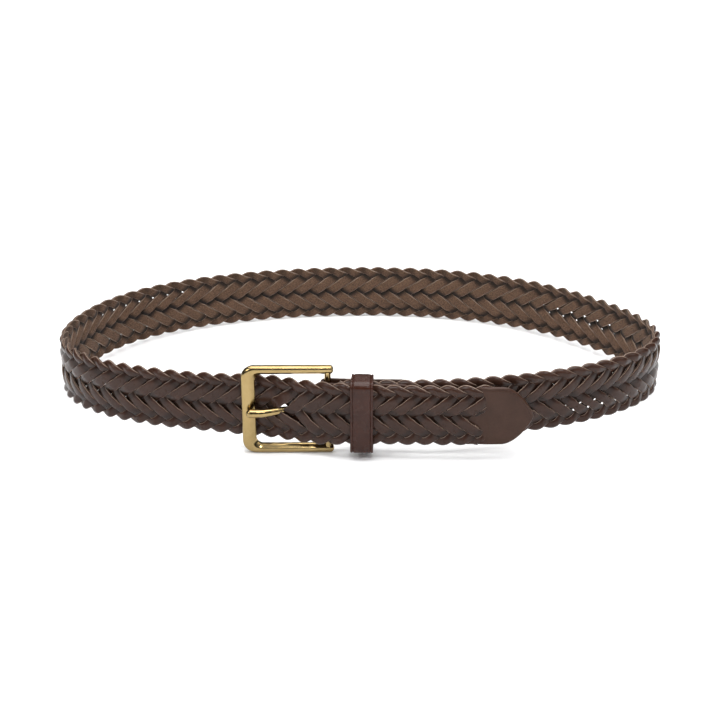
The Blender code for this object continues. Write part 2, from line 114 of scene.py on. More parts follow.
@dataclass
class Loft:
    """A closed body whose sections follow one another."""

    name: str
    rings: np.ndarray
    materials: list[bpy.types.Material]
    faces: list[int] = field(default_factory=list)
    run: np.ndarray | None = None
    girth: np.ndarray | None = None
    looped: bool = False
    sharp: float = 40.0

    def build(self) -> bpy.types.Object:
        """Makes the object.

        Returns:
            The new object, with a UV map in metres along and round the body.
        """
        count, around = self.rings.shape[:2]
        last = count if self.looped else count - 1
        station = np.arange(last)
        line = np.arange(around)
        a = (station[:, None] * around + line).ravel()
        b = (station[:, None] * around + (line + 1) % around).ravel()
        step = ((station + 1) % count)[:, None] * around
        c = (step + (line + 1) % around).ravel()
        d = (step + line).ravel()
        quads = np.stack([a, b, c, d], axis=1)
        points = self.rings.reshape(-1, 3)
        turned = self.signed_volume(points, quads) < 0
        if turned:
            quads = quads[:, ::-1]
        faces = quads.tolist()
        if not self.looped:
            first = list(range(around))
            end = [(count - 1) * around + place for place in range(around)]
            faces += [first, end[::-1]] if turned else [first[::-1], end]
        mesh = bpy.data.meshes.new(self.name)
        mesh.from_pydata(points.tolist(), [], faces)
        for material in self.materials:
            mesh.materials.append(material)
        if self.faces:
            index = np.tile(np.array(self.faces), last)
            index = np.concatenate([index, np.full(len(faces) - len(index), StripFace.CUT_EDGE)])
            mesh.polygons.foreach_set("material_index", index.astype(np.int32))
        self.add_uv(mesh, last, around, turned)
        mesh.shade_smooth()
        mesh.set_sharp_from_angle(angle=math.radians(self.sharp))
        mesh.validate()
        item = bpy.data.objects.new(self.name, mesh)
        bpy.context.scene.collection.objects.link(item)
        return item

    @staticmethod
    def signed_volume(points: np.ndarray, quads: np.ndarray) -> float:
        """Gives the volume inside the faces, below 0 where they face inward.

        Args:
            points: The corners' points.
            quads: The corners of each face.

        Returns:
            Six times the volume.
        """
        middle = points.mean(axis=0)
        a, b, c, d = (points[quads[:, corner]] - middle for corner in range(4))
        return float(np.einsum("ij,ij->", np.cross(a, b), c) + np.einsum("ij,ij->", np.cross(a, c), d))

    def add_uv(self, mesh: bpy.types.Mesh, last: int, around: int, turned: bool) -> None:
        """Lays out the UV map.

        Args:
            mesh: The mesh.
            last: The number of rows of faces.
            around: The number of faces in a row.
            turned: Whether the faces' corners run backward.
        """
        run = self.run if self.run is not None else self.path_run(self.rings.mean(axis=1))
        if len(run) == last:
            run = np.append(run, 2 * run[-1] - run[-2])
        closed = np.concatenate([self.rings[0], self.rings[0][:1]])
        girth = self.girth if self.girth is not None else self.path_run(closed)
        u = np.stack([run[:-1], run[:-1], run[1:], run[1:]], axis=1)[:last]
        v = np.stack([girth[:-1], girth[1:], girth[1:], girth[:-1]], axis=1)
        uv = np.zeros((last, around, 4, 2))
        uv[..., 0] = u[:, None, :]
        uv[..., 1] = v[None, :, :]
        if turned:
            uv = uv[:, :, ::-1]
        layer = mesh.uv_layers.new(name="lie")
        flat = np.zeros((len(mesh.loops), 2))
        flat[: uv.size // 2] = uv.reshape(-1, 2)
        layer.data.foreach_set("uv", flat.astype(np.float32).ravel())

    @staticmethod
    def path_run(points: np.ndarray) -> np.ndarray:
        """Gives the arc length along a row of points."""
        steps = np.linalg.norm(np.diff(points, axis=0), axis=1)
        return np.concatenate([[0.0], np.cumsum(steps)])


@dataclass
class BeltPlan:
    """The belt's middle line, from the bar once round and on over it to the tip."""

    half_width: float = 0.188
    half_depth: float = 0.105
    bar_offset: float = 0.019
    belt_width: float = 0.036
    braid_thickness: float = 0.0044
    front_pitch: float = 0.0101
    back_pitch: float = 0.0114
    free_end: float = 0.0885
    tab_length: float = 0.0292
    tip_stand_off: float = 0.0165
    chape_thickness: float = 0.0016
    keeper_width: float = 0.0128
    keeper_distance: float = 0.0135
    frame_height: float = 0.0548
    frame_reach: float = 0.0495
    side_bar: float = 0.008
    gap: float = 0.0003
    steps: int = 1440
    lead: int = 20
    reach: tuple[float, ...] = (
        0.950, 0.940, 1.045, 1.115, 1.095, 1.035, 1.010, 1.015, 0.895, 0.860, 0.900, 0.945,
    )

    def __post_init__(self) -> None:
        """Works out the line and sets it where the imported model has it."""
        self.half_thickness = self.braid_thickness / 2
        self.chape_middle = self.half_thickness + self.gap + self.chape_thickness / 2
        self.chape_outside = self.half_thickness + self.gap + self.chape_thickness
        self.layer_offset = self.chape_outside + self.gap + self.half_thickness
        self.half_belt = self.belt_width / 2
        x, y = self.trace_loop()
        run = np.concatenate([[0.0], np.cumsum(np.hypot(np.diff(x), np.diff(y)))])
        out_x, out_y = self.outward(x, y)
        girth = run[-1]
        reach = girth + self.keeper_distance + self.free_end + self.tab_length
        along = np.arange(-self.lead, self.steps * reach / girth) * girth / self.steps
        turned = np.mod(along, girth)
        lift = self.lift(along, girth)
        self.x = np.interp(turned, run, x) + lift * np.interp(turned, run, out_x)
        base_y = np.interp(turned, run, y)
        self.y = base_y + lift * np.interp(turned, run, out_y)
        front_rise = (self.frame_height - self.belt_width) / 2
        self.rise = front_rise * (y.max() - base_y) / (y.max() - y[0])
        steps = np.hypot(np.diff(self.x), np.diff(self.y))
        self.length = self.run_total(steps)
        self.out_x, self.out_y = self.outward(self.x, self.y)
        self.girth = float(np.interp(girth, along, self.length))
        self.phase = self.run_total(steps / self.pitch_at(self.length[1:] - steps / 2))
        self.settle_on_keeper()

    def trace_loop(self) -> tuple[np.ndarray, np.ndarray]:
        """Gives the closed oval, from the bar over +X round to the bar again.

        Returns:
            The oval's points along x and along y.
        """
        bearing = np.arange(self.steps) * 2 * math.pi / self.steps
        parts = np.fft.rfft(self.reach) / len(self.reach)
        share = np.full(self.steps, parts[0].real)
        for order, part in enumerate(parts[1:], start=1):
            weight = 1 if 2 * order == len(self.reach) else 2
            share += weight * (part.real * np.cos(order * bearing) - part.imag * np.sin(order * bearing))
        x = self.half_width * share * np.cos(bearing)
        y = self.half_depth * share * np.sin(bearing)
        x -= (x.max() + x.min()) / 2
        start = int(np.argmin(np.where(y < 0, np.abs(x + self.bar_offset), np.inf)))
        x, y = np.roll(x, -start), np.roll(y, -start)
        return np.append(x, x[0]), np.append(y, y[0])

    @staticmethod
    def outward(x: np.ndarray, y: np.ndarray) -> tuple[np.ndarray, np.ndarray]:
        """Gives the directions that point out of the loop.

        Args:
            x: The line's points along x.
            y: The line's points along y.

        Returns:
            The directions' parts along x and along y.
        """
        run_x, run_y = np.gradient(x), np.gradient(y)
        size = np.hypot(run_x, run_y)
        return run_y / size, -run_x / size

    def lift(self, along: np.ndarray, girth: float) -> np.ndarray:
        """Gives how far the free end lies outside the plain oval.

        Args:
            along: Arc lengths on the oval.
            girth: The oval's whole length.

        Returns:
            The distance at each arc length.
        """
        climb = self.frame_reach - self.side_bar
        over_bar = self.layer_offset * smoothstep((along - girth + climb) / climb)
        free_start = girth + self.keeper_distance + self.keeper_width
        free_end = girth + self.free_end + self.tab_length
        share = np.clip((along - free_start) / (free_end - free_start), 0.0, None)
        return over_bar + (self.tip_stand_off - self.layer_offset) * share ** 2

    def run_total(self, steps: np.ndarray) -> np.ndarray:
        """Adds steps up from the bar, where the total is 0."""
        total = np.concatenate([[0.0], np.cumsum(steps)])
        return total - total[self.lead]

    def pitch_at(self, along: np.ndarray) -> np.ndarray:
        """Gives the braid's pitch: it is drawn out longest at the back.

        Args:
            along: Arc lengths from the bar.

        Returns:
            The pitch at each arc length.
        """
        middle = (self.front_pitch + self.back_pitch) / 2
        swing = (self.back_pitch - self.front_pitch) / 2
        return middle - swing * np.cos(2 * math.pi * along / self.girth)

    def settle_on_keeper(self) -> None:
        """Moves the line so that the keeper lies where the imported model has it."""
        low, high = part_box("keeper_loop")
        middle = self.keeper_distance + self.keeper_width / 2
        depth = (self.layer_offset + self.half_thickness - self.chape_outside) / 2
        here = self.place(np.array([middle]), np.array([depth]), np.array([self.half_belt]))[0]
        self.x += (low.x + high.x) / 2 - here[0]
        self.y += (low.y + high.y) / 2 - here[1]

    def place(self, along: np.ndarray, depth: np.ndarray, height: np.ndarray) -> np.ndarray:
        """Gives points on the belt.

        Args:
            along: Arc lengths from the bar.
            depth: Depths outward from the middle of the braid.
            height: Heights above the strap's lower edge.

        Returns:
            The points, one row each.
        """
        x = np.interp(along, self.length, self.x) + depth * np.interp(along, self.length, self.out_x)
        y = np.interp(along, self.length, self.y) + depth * np.interp(along, self.length, self.out_y)
        z = height + np.interp(along, self.length, self.rise)
        return np.stack([x, y, z], axis=-1)

    def phase_of_along(self, along: np.ndarray | float) -> np.ndarray:
        """Gives the phase of an arc length, counted in pitches from the bar."""
        return np.interp(along, self.length, self.phase)


class Nodes:
    """Adds and links nodes in one shader node tree."""

    def __init__(self, tree: bpy.types.NodeTree) -> None:
        """Takes the tree to work in."""
        self.tree = tree

    def add(self, kind: str, inputs: dict | None = None, **settings: object) -> bpy.types.Node:
        """Adds a node.

        Args:
            kind: The node's type name.
            inputs: Socket names or numbers, with values or sockets to link.
            settings: The node's own properties.

        Returns:
            The new node.
        """
        node = self.tree.nodes.new(kind)
        for key, value in settings.items():
            setattr(node, key, value)
        for key, value in (inputs or {}).items():
            if isinstance(value, bpy.types.NodeSocket):
                self.tree.links.new(value, node.inputs[key])
            else:
                node.inputs[key].default_value = value
        return node

    def maths(self, operation: str, first: Socket, second: Socket = 0.0) -> bpy.types.NodeSocket:
        """Adds a Math node and gives its result."""
        return self.add("ShaderNodeMath", {0: first, 1: second}, operation=operation).outputs[0]

    def remap(self, value: Socket, low: Socket, high: Socket, to_low: float = 0.0, to_high: float = 1.0
              ) -> bpy.types.NodeSocket:
        """Maps a value from one range to another, held at its ends."""
        inputs = {"Value": value, "From Min": low, "From Max": high, "To Min": to_low, "To Max": to_high}
        return self.add("ShaderNodeMapRange", inputs).outputs[0]

    def blend(self, factor: Socket, first: Socket | Colour, second: Socket | Colour
              ) -> bpy.types.NodeSocket:
        """Mixes two colours by a factor."""
        inputs = {0: factor, 6: self.four(first), 7: self.four(second)}
        return self.add("ShaderNodeMix", inputs, data_type="RGBA").outputs[2]

    def noise(self, vector: bpy.types.NodeSocket, scale: Socket, detail: float, roughness: float
              ) -> bpy.types.NodeSocket:
        """Adds a noise texture and gives its height."""
        inputs = {"Vector": vector, "Scale": scale, "Detail": detail, "Roughness": roughness}
        return self.add("ShaderNodeTexNoise", inputs).outputs[0]

    def stretch(self, vector: bpy.types.NodeSocket, scale: Place) -> bpy.types.NodeSocket:
        """Scales a vector along its axes."""
        return self.add("ShaderNodeMapping", {"Vector": vector, "Scale": scale}).outputs[0]

    @staticmethod
    def four(value: object) -> object:
        """Gives a plain colour its alpha."""
        return (*value, 1.0) if isinstance(value, tuple) and len(value) == 3 else value


class EffectGroup:
    """A shader node group that several finishes share."""

    name: str = "effect"
    inputs: tuple[tuple[str, str, object], ...] = ()
    outputs: tuple[tuple[str, str], ...] = ()

    @classmethod
    def tree(cls) -> bpy.types.NodeTree:
        """Gives the group, made the first time it is asked for.

        Returns:
            The group.
        """
        found = bpy.data.node_groups.get(cls.name)
        if found:
            return found
        made = bpy.data.node_groups.new(cls.name, "ShaderNodeTree")
        for label, kind, value in cls.inputs:
            socket = made.interface.new_socket(label, in_out="INPUT", socket_type=kind)
            if value is not None:
                socket.default_value = value
        for label, kind in cls.outputs:
            made.interface.new_socket(label, in_out="OUTPUT", socket_type=kind)
        nodes = Nodes(made)
        start = nodes.add("NodeGroupInput")
        cls.fill(nodes, start.outputs, nodes.add("NodeGroupOutput"))
        return made

    @classmethod
    def fill(cls, nodes: Nodes, given: bpy.types.NodeOutputs, end: bpy.types.Node) -> None:
        """Adds the group's own nodes.

        Args:
            nodes: The group's nodes.
            given: The group's inputs.
            end: The node that takes its outputs.
        """
        raise NotImplementedError

    @classmethod
    def use(cls, nodes: Nodes, inputs: dict) -> bpy.types.NodeOutputs:
        """Places the group in a material.

        Args:
            nodes: The material's nodes.
            inputs: The group's inputs, by name.

        Returns:
            The group's outputs.
        """
        values = {label: Nodes.four(value) for label, value in inputs.items()}
        return nodes.add("ShaderNodeGroup", values, node_tree=cls.tree()).outputs


class ToneDrift(EffectGroup):
    """Colour that wanders between two tones, as dyed leather and worn metal do."""

    name = "tone_drift"
    inputs = (
        ("Vector", "NodeSocketVector", None),
        ("Scale", "NodeSocketFloat", 60.0),
        ("Tone", "NodeSocketColor", (0.1, 0.1, 0.1, 1.0)),
        ("Other Tone", "NodeSocketColor", (0.2, 0.2, 0.2, 1.0)),
        ("Spread", "NodeSocketFloat", 0.2),
    )
    outputs = (("Color", "NodeSocketColor"), ("Mask", "NodeSocketFloat"))
    fine_step = 9.0
    coarse_share = 0.7
    fine_share = 0.3

    @classmethod
    def fill(cls, nodes: Nodes, given: bpy.types.NodeOutputs, end: bpy.types.Node) -> None:
        """Adds coarse and fine noise and blends the tones by them.

        Args:
            nodes: The group's nodes.
            given: The group's inputs.
            end: The node that takes its outputs.
        """
        coarse = nodes.noise(given["Vector"], given["Scale"], detail=3.0, roughness=0.6)
        fine_scale = nodes.maths("MULTIPLY", given["Scale"], cls.fine_step)
        fine = nodes.noise(given["Vector"], fine_scale, detail=2.0, roughness=0.5)
        coarse_part = nodes.maths("MULTIPLY", coarse, cls.coarse_share)
        mixed = nodes.maths("ADD", coarse_part, nodes.maths("MULTIPLY", fine, cls.fine_share))
        low = nodes.maths("SUBTRACT", 0.5, given["Spread"])
        high = nodes.maths("ADD", 0.5, given["Spread"])
        spread = nodes.remap(nodes.remap(mixed, 0.0, 1.0), low, high)
        tone = nodes.blend(spread, given["Tone"], given["Other Tone"])
        nodes.tree.links.new(tone, end.inputs["Color"])
        nodes.tree.links.new(spread, end.inputs["Mask"])


class PoredGrain(EffectGroup):
    """The fine pebbled grain of smooth leather, with its pores."""

    name = "pored_grain"
    inputs = (("Vector", "NodeSocketVector", None), ("Scale", "NodeSocketFloat", 2000.0))
    outputs = (("Height", "NodeSocketFloat"),)
    cell_depth = -0.5
    swell_step = 0.12
    swell_height = 1.6

    @classmethod
    def fill(cls, nodes: Nodes, given: bpy.types.NodeOutputs, end: bpy.types.Node) -> None:
        """Adds soft cells and a slow swell.

        Args:
            nodes: The group's nodes.
            given: The group's inputs.
            end: The node that takes its outputs.
        """
        inputs = {"Vector": given["Vector"], "Scale": given["Scale"]}
        cells = nodes.add("ShaderNodeTexVoronoi", inputs, feature="SMOOTH_F1").outputs["Distance"]
        swell_scale = nodes.maths("MULTIPLY", given["Scale"], cls.swell_step)
        swell = nodes.noise(given["Vector"], swell_scale, detail=4.0, roughness=0.6)
        pits = nodes.maths("MULTIPLY", cells, cls.cell_depth)
        height = nodes.maths("ADD", pits, nodes.maths("MULTIPLY", swell, cls.swell_height))
        nodes.tree.links.new(height, end.inputs["Height"])


class DarkRecess(EffectGroup):
    """Paints shade into a colour where a strip dives under its neighbours, where the light would not reach.
    """

    name = "dark_recess"
    inputs = (
        ("Tone", "NodeSocketColor", (0.1, 0.1, 0.1, 1.0)),
        ("Recess", "NodeSocketFloat", 0.0),
        ("Depth", "NodeSocketFloat", 0.8),
    )
    outputs = (("Color", "NodeSocketColor"),)
    # the near-black colour that the painted shade blends toward
    shade: Colour = (0.004, 0.0025, 0.002)

    @classmethod
    def fill(cls, nodes: Nodes, given: bpy.types.NodeOutputs, end: bpy.types.Node) -> None:
        """Blends the tone toward black by the painted shade mask.

        Args:
            nodes: The group's nodes.
            given: The group's inputs.
            end: The node that takes its outputs.
        """
        share = nodes.maths("MULTIPLY", given["Recess"], given["Depth"])
        nodes.tree.links.new(nodes.blend(share, given["Tone"], cls.shade), end.inputs["Color"])


class LooseFibres(EffectGroup):
    """The nap of raw leather: short fibres that lie along the strip."""

    name = "loose_fibres"
    inputs = (("Vector", "NodeSocketVector", None), ("Scale", "NodeSocketFloat", 900.0))
    outputs = (("Height", "NodeSocketFloat"), ("Mask", "NodeSocketFloat"))
    lie_stretch: Place = (0.7, 1.0, 1.0)
    fibre_step = 2.2
    fibre_height = 0.7
    clump_height = 0.6
    fibre_low = 0.38
    fibre_high = 0.66

    @classmethod
    def fill(cls, nodes: Nodes, given: bpy.types.NodeOutputs, end: bpy.types.Node) -> None:
        """Adds drawn-out noise for fibres over round noise for clumps.

        Args:
            nodes: The group's nodes.
            given: The group's inputs.
            end: The node that takes its outputs.
        """
        drawn = nodes.stretch(given["Vector"], cls.lie_stretch)
        fibre_scale = nodes.maths("MULTIPLY", given["Scale"], cls.fibre_step)
        fibres = nodes.noise(drawn, fibre_scale, detail=4.0, roughness=0.7)
        clumps = nodes.noise(given["Vector"], given["Scale"], detail=3.0, roughness=0.6)
        fibre_part = nodes.maths("MULTIPLY", fibres, cls.fibre_height)
        height = nodes.maths("ADD", fibre_part, nodes.maths("MULTIPLY", clumps, cls.clump_height))
        nodes.tree.links.new(height, end.inputs["Height"])
        nodes.tree.links.new(nodes.remap(fibres, cls.fibre_low, cls.fibre_high), end.inputs["Mask"])


def new_material(name: str) -> tuple[bpy.types.Material, Nodes, bpy.types.Node]:
    """Makes a material.

    Args:
        name: Its name.

    Returns:
        The material, its nodes and its surface shader.
    """
    material = bpy.data.materials.new(name)
    material.use_nodes = True
    nodes = Nodes(material.node_tree)
    return material, nodes, material.node_tree.nodes["Principled BSDF"]


def darkened(nodes: Nodes, tone: bpy.types.NodeSocket, depth: float) -> bpy.types.NodeSocket:
    """Paints shade into a strip's colour in its recesses.

    Args:
        nodes: The material's nodes.
        tone: The colour.
        depth: How much of the colour the painted shade takes where the strip dives deepest.

    Returns:
        The colour with its painted shade.
    """
    recess = nodes.add("ShaderNodeAttribute", attribute_name="recess").outputs["Fac"]
    return DarkRecess.use(nodes, {"Tone": tone, "Recess": recess, "Depth": depth})["Color"]


@dataclass(frozen=True)
class SmoothLeather:
    """Dyed and polished leather, grain side out."""

    name: str
    tone: Colour
    other_tone: Colour
    roughness: float = 0.4
    rough_swing: float = 0.08
    coat: float = 0.0
    pore_scale: float = 2600.0
    pore_depth: float = 0.00005
    pore_strength: float = 0.7
    drift_scale: float = 90.0
    drift_spread: float = 0.16
    rub_scale: float = 260.0
    shine: float = 0.5
    coat_roughness: float = 0.18
    # how strongly painted shade darkens the strip's dips
    recess: float = 0.0

    def make(self) -> bpy.types.Material:
        """Makes the material.

        Returns:
            The material.
        """
        material, nodes, shader = new_material(self.name)
        where = nodes.add("ShaderNodeTexCoord").outputs["Object"]
        drift = ToneDrift.use(nodes, {
            "Vector": where, "Scale": self.drift_scale, "Tone": self.tone,
            "Other Tone": self.other_tone, "Spread": self.drift_spread,
        })
        grain = PoredGrain.use(nodes, {"Vector": where, "Scale": self.pore_scale})
        rub = nodes.noise(where, self.rub_scale, detail=3.0, roughness=0.6)
        rubbed, dull = self.roughness - self.rough_swing, self.roughness + self.rough_swing
        gloss = nodes.remap(rub, NOISE_LOW, NOISE_HIGH, rubbed, dull)
        bump = nodes.add("ShaderNodeBump", {
            "Height": grain["Height"], "Strength": self.pore_strength, "Distance": self.pore_depth,
        })
        tone = darkened(nodes, drift["Color"], self.recess) if self.recess else drift["Color"]
        nodes.tree.links.new(tone, shader.inputs["Base Color"])
        nodes.tree.links.new(gloss, shader.inputs["Roughness"])
        nodes.tree.links.new(bump.outputs[0], shader.inputs["Normal"])
        shader.inputs["Specular IOR Level"].default_value = self.shine
        shader.inputs["Coat Weight"].default_value = self.coat
        shader.inputs["Coat Roughness"].default_value = self.coat_roughness
        return material


@dataclass(frozen=True)
class RawLeather:
    """Undyed leather: a strip's flesh side or its cut edge."""

    name: str
    tone: Colour
    other_tone: Colour
    fibre_scale: float = 900.0
    nap: float = 0.00012
    nap_strength: float = 0.8
    drift_scale: float = 140.0
    drift_spread: float = 0.2
    sheen: float = 0.04
    sheen_roughness: float = 0.5
    roughness: float = 0.85
    shine: float = 0.25
    # how strongly painted shade darkens the strip's dips
    recess: float = 0.95
    # pale flecks along the nap: partly the fibres' own pale colour, partly painted highlight
    fleck: float = 0.55
    fleck_paleness: float = 1.9

    def make(self) -> bpy.types.Material:
        """Makes the material.

        Returns:
            The material.
        """
        material, nodes, shader = new_material(self.name)
        lie = nodes.add("ShaderNodeUVMap", uv_map="lie").outputs[0]
        where = nodes.add("ShaderNodeTexCoord").outputs["Object"]
        fibres = LooseFibres.use(nodes, {"Vector": lie, "Scale": self.fibre_scale})
        drift = ToneDrift.use(nodes, {
            "Vector": where, "Scale": self.drift_scale, "Tone": self.tone,
            "Other Tone": self.other_tone, "Spread": self.drift_spread,
        })
        # pale fibre flecks, partly the nap's own colour and partly painted highlight
        pale = tuple(min(1.0, self.fleck_paleness * part) for part in self.other_tone)
        faint = nodes.maths("MULTIPLY", fibres["Mask"], self.fleck)
        bump = nodes.add("ShaderNodeBump", {
            "Height": fibres["Height"], "Strength": self.nap_strength, "Distance": self.nap,
        })
        tone = darkened(nodes, nodes.blend(faint, drift["Color"], pale), self.recess)
        nodes.tree.links.new(tone, shader.inputs["Base Color"])
        nodes.tree.links.new(bump.outputs[0], shader.inputs["Normal"])
        shader.inputs["Roughness"].default_value = self.roughness
        shader.inputs["Specular IOR Level"].default_value = self.shine
        shader.inputs["Sheen Weight"].default_value = self.sheen
        shader.inputs["Sheen Roughness"].default_value = self.sheen_roughness
        return material


@dataclass(frozen=True)
class CastBrass:
    """Satin brass with a thin brown film and fine brushing."""

    name: str = "satin_brass"
    bright: Colour = (0.37, 0.272, 0.128)
    filmed: Colour = (0.28, 0.20, 0.084)
    roughness: float = 0.17
    film_roughness: float = 0.07
    drift_scale: float = 120.0
    drift_spread: float = 0.25
    brush_stretch: Place = (0.05, 1.0, 1.0)
    brush_scale: float = 6000.0
    brush_smooth: float = -0.05
    brush_rough: float = 0.06
    brush_strength: float = 0.2
    brush_depth: float = 0.000003

    def make(self) -> bpy.types.Material:
        """Makes the material.

        Returns:
            The material.
        """
        material, nodes, shader = new_material(self.name)
        lie = nodes.add("ShaderNodeUVMap", uv_map="lie").outputs[0]
        where = nodes.add("ShaderNodeTexCoord").outputs["Object"]
        drift = ToneDrift.use(nodes, {
            "Vector": where, "Scale": self.drift_scale, "Tone": self.bright,
            "Other Tone": self.filmed, "Spread": self.drift_spread,
        })
        drawn = nodes.stretch(lie, self.brush_stretch)
        brushed = nodes.noise(drawn, self.brush_scale, detail=3.0, roughness=0.6)
        lines = nodes.remap(brushed, NOISE_LOW, NOISE_HIGH, self.brush_smooth, self.brush_rough)
        film = nodes.remap(drift["Mask"], 0.0, 1.0, self.roughness, self.roughness + self.film_roughness)
        rough = nodes.maths("ADD", lines, film)
        bump = nodes.add("ShaderNodeBump", {
            "Height": brushed, "Strength": self.brush_strength, "Distance": self.brush_depth,
        })
        nodes.tree.links.new(drift["Color"], shader.inputs["Base Color"])
        nodes.tree.links.new(rough, shader.inputs["Roughness"])
        nodes.tree.links.new(bump.outputs[0], shader.inputs["Normal"])
        shader.inputs["Metallic"].default_value = 1.0
        return material


@dataclass(frozen=True)
class WaxedThread:
    """Brown twisted sewing thread."""

    name: str = "waxed_thread"
    tone: Colour = (0.045, 0.026, 0.018)
    other_tone: Colour = (0.10, 0.06, 0.04)
    twist_scale: float = 700.0
    twist_strength: float = 0.6
    twist_depth: float = 0.00008
    roughness: float = 0.55

    def make(self) -> bpy.types.Material:
        """Makes the material.

        Returns:
            The material.
        """
        material, nodes, shader = new_material(self.name)
        lie = nodes.add("ShaderNodeUVMap", uv_map="lie").outputs[0]
        inputs = {"Vector": lie, "Scale": self.twist_scale, "Distortion": 1.0}
        twist = nodes.add("ShaderNodeTexWave", inputs, bands_direction="DIAGONAL").outputs["Fac"]
        bump = nodes.add("ShaderNodeBump", {
            "Height": twist, "Strength": self.twist_strength, "Distance": self.twist_depth,
        })
        nodes.tree.links.new(nodes.blend(twist, self.tone, self.other_tone), shader.inputs["Base Color"])
        nodes.tree.links.new(bump.outputs[0], shader.inputs["Normal"])
        shader.inputs["Roughness"].default_value = self.roughness
        return material


@dataclass(frozen=True)
class PaleFloor:
    """Matt white paper, barely mottled."""

    name: str = "pale_paper"
    tone: Colour = (0.96, 0.96, 0.955)
    other_tone: Colour = (0.93, 0.93, 0.93)
    drift_scale: float = 1.5
    drift_spread: float = 0.4
    roughness: float = 0.9

    def make(self) -> bpy.types.Material:
        """Makes the material.

        Returns:
            The material.
        """
        material, nodes, shader = new_material(self.name)
        where = nodes.add("ShaderNodeTexCoord").outputs["Object"]
        drift = ToneDrift.use(nodes, {
            "Vector": where, "Scale": self.drift_scale, "Tone": self.tone,
            "Other Tone": self.other_tone, "Spread": self.drift_spread,
        })
        nodes.tree.links.new(drift["Color"], shader.inputs["Base Color"])
        shader.inputs["Roughness"].default_value = self.roughness
        return material


@dataclass(frozen=True)
class Finishes:
    """Every finish of the belt, made once."""

    grain: bpy.types.Material
    cut_edge: bpy.types.Material
    rim: bpy.types.Material
    flesh: bpy.types.Material
    smooth: bpy.types.Material
    keeper: bpy.types.Material
    brass: bpy.types.Material
    thread: bpy.types.Material

    @classmethod
    def make_all(cls) -> "Finishes":
        """Makes the materials from their recipes.

        Returns:
            The belt's finishes.
        """
        recipes = {
            "grain": SmoothLeather(
                "strip_grain", (0.029, 0.0132, 0.0086), (0.0445, 0.0205, 0.0136), roughness=0.30,
                rough_swing=0.05, coat=0.2, shine=0.11, recess=0.55),
            "cut_edge": RawLeather(
                "strip_cut_edge", (0.020, 0.0115, 0.008), (0.042, 0.025, 0.017), fibre_scale=1400.0),
            # the strips' rounded corners: pale raw edge colour, partly painted highlight where the edges
            # would catch the light
            "rim": RawLeather(
                "strip_rim", (0.088, 0.060, 0.045), (0.22, 0.156, 0.117), fibre_scale=1000.0, recess=0.5),
            "flesh": RawLeather(
                "strip_flesh", (0.020, 0.0106, 0.0060), (0.076, 0.0425, 0.0256), fibre_scale=620.0,
                nap=0.00045, fleck=0.95),
            "smooth": SmoothLeather(
                "tab_leather", (0.039, 0.0186, 0.0122), (0.052, 0.0248, 0.0162), roughness=0.33,
                rough_swing=0.05, coat=0.08, shine=0.13),
            "keeper": SmoothLeather(
                "keeper_leather", (0.028, 0.0088, 0.0052), (0.044, 0.0142, 0.0084), roughness=0.26,
                rough_swing=0.05, coat=0.22, pore_depth=0.00003, shine=0.12),
            "brass": CastBrass(),
            "thread": WaxedThread(),
        }
        return cls(**{part: recipe.make() for part, recipe in recipes.items()})


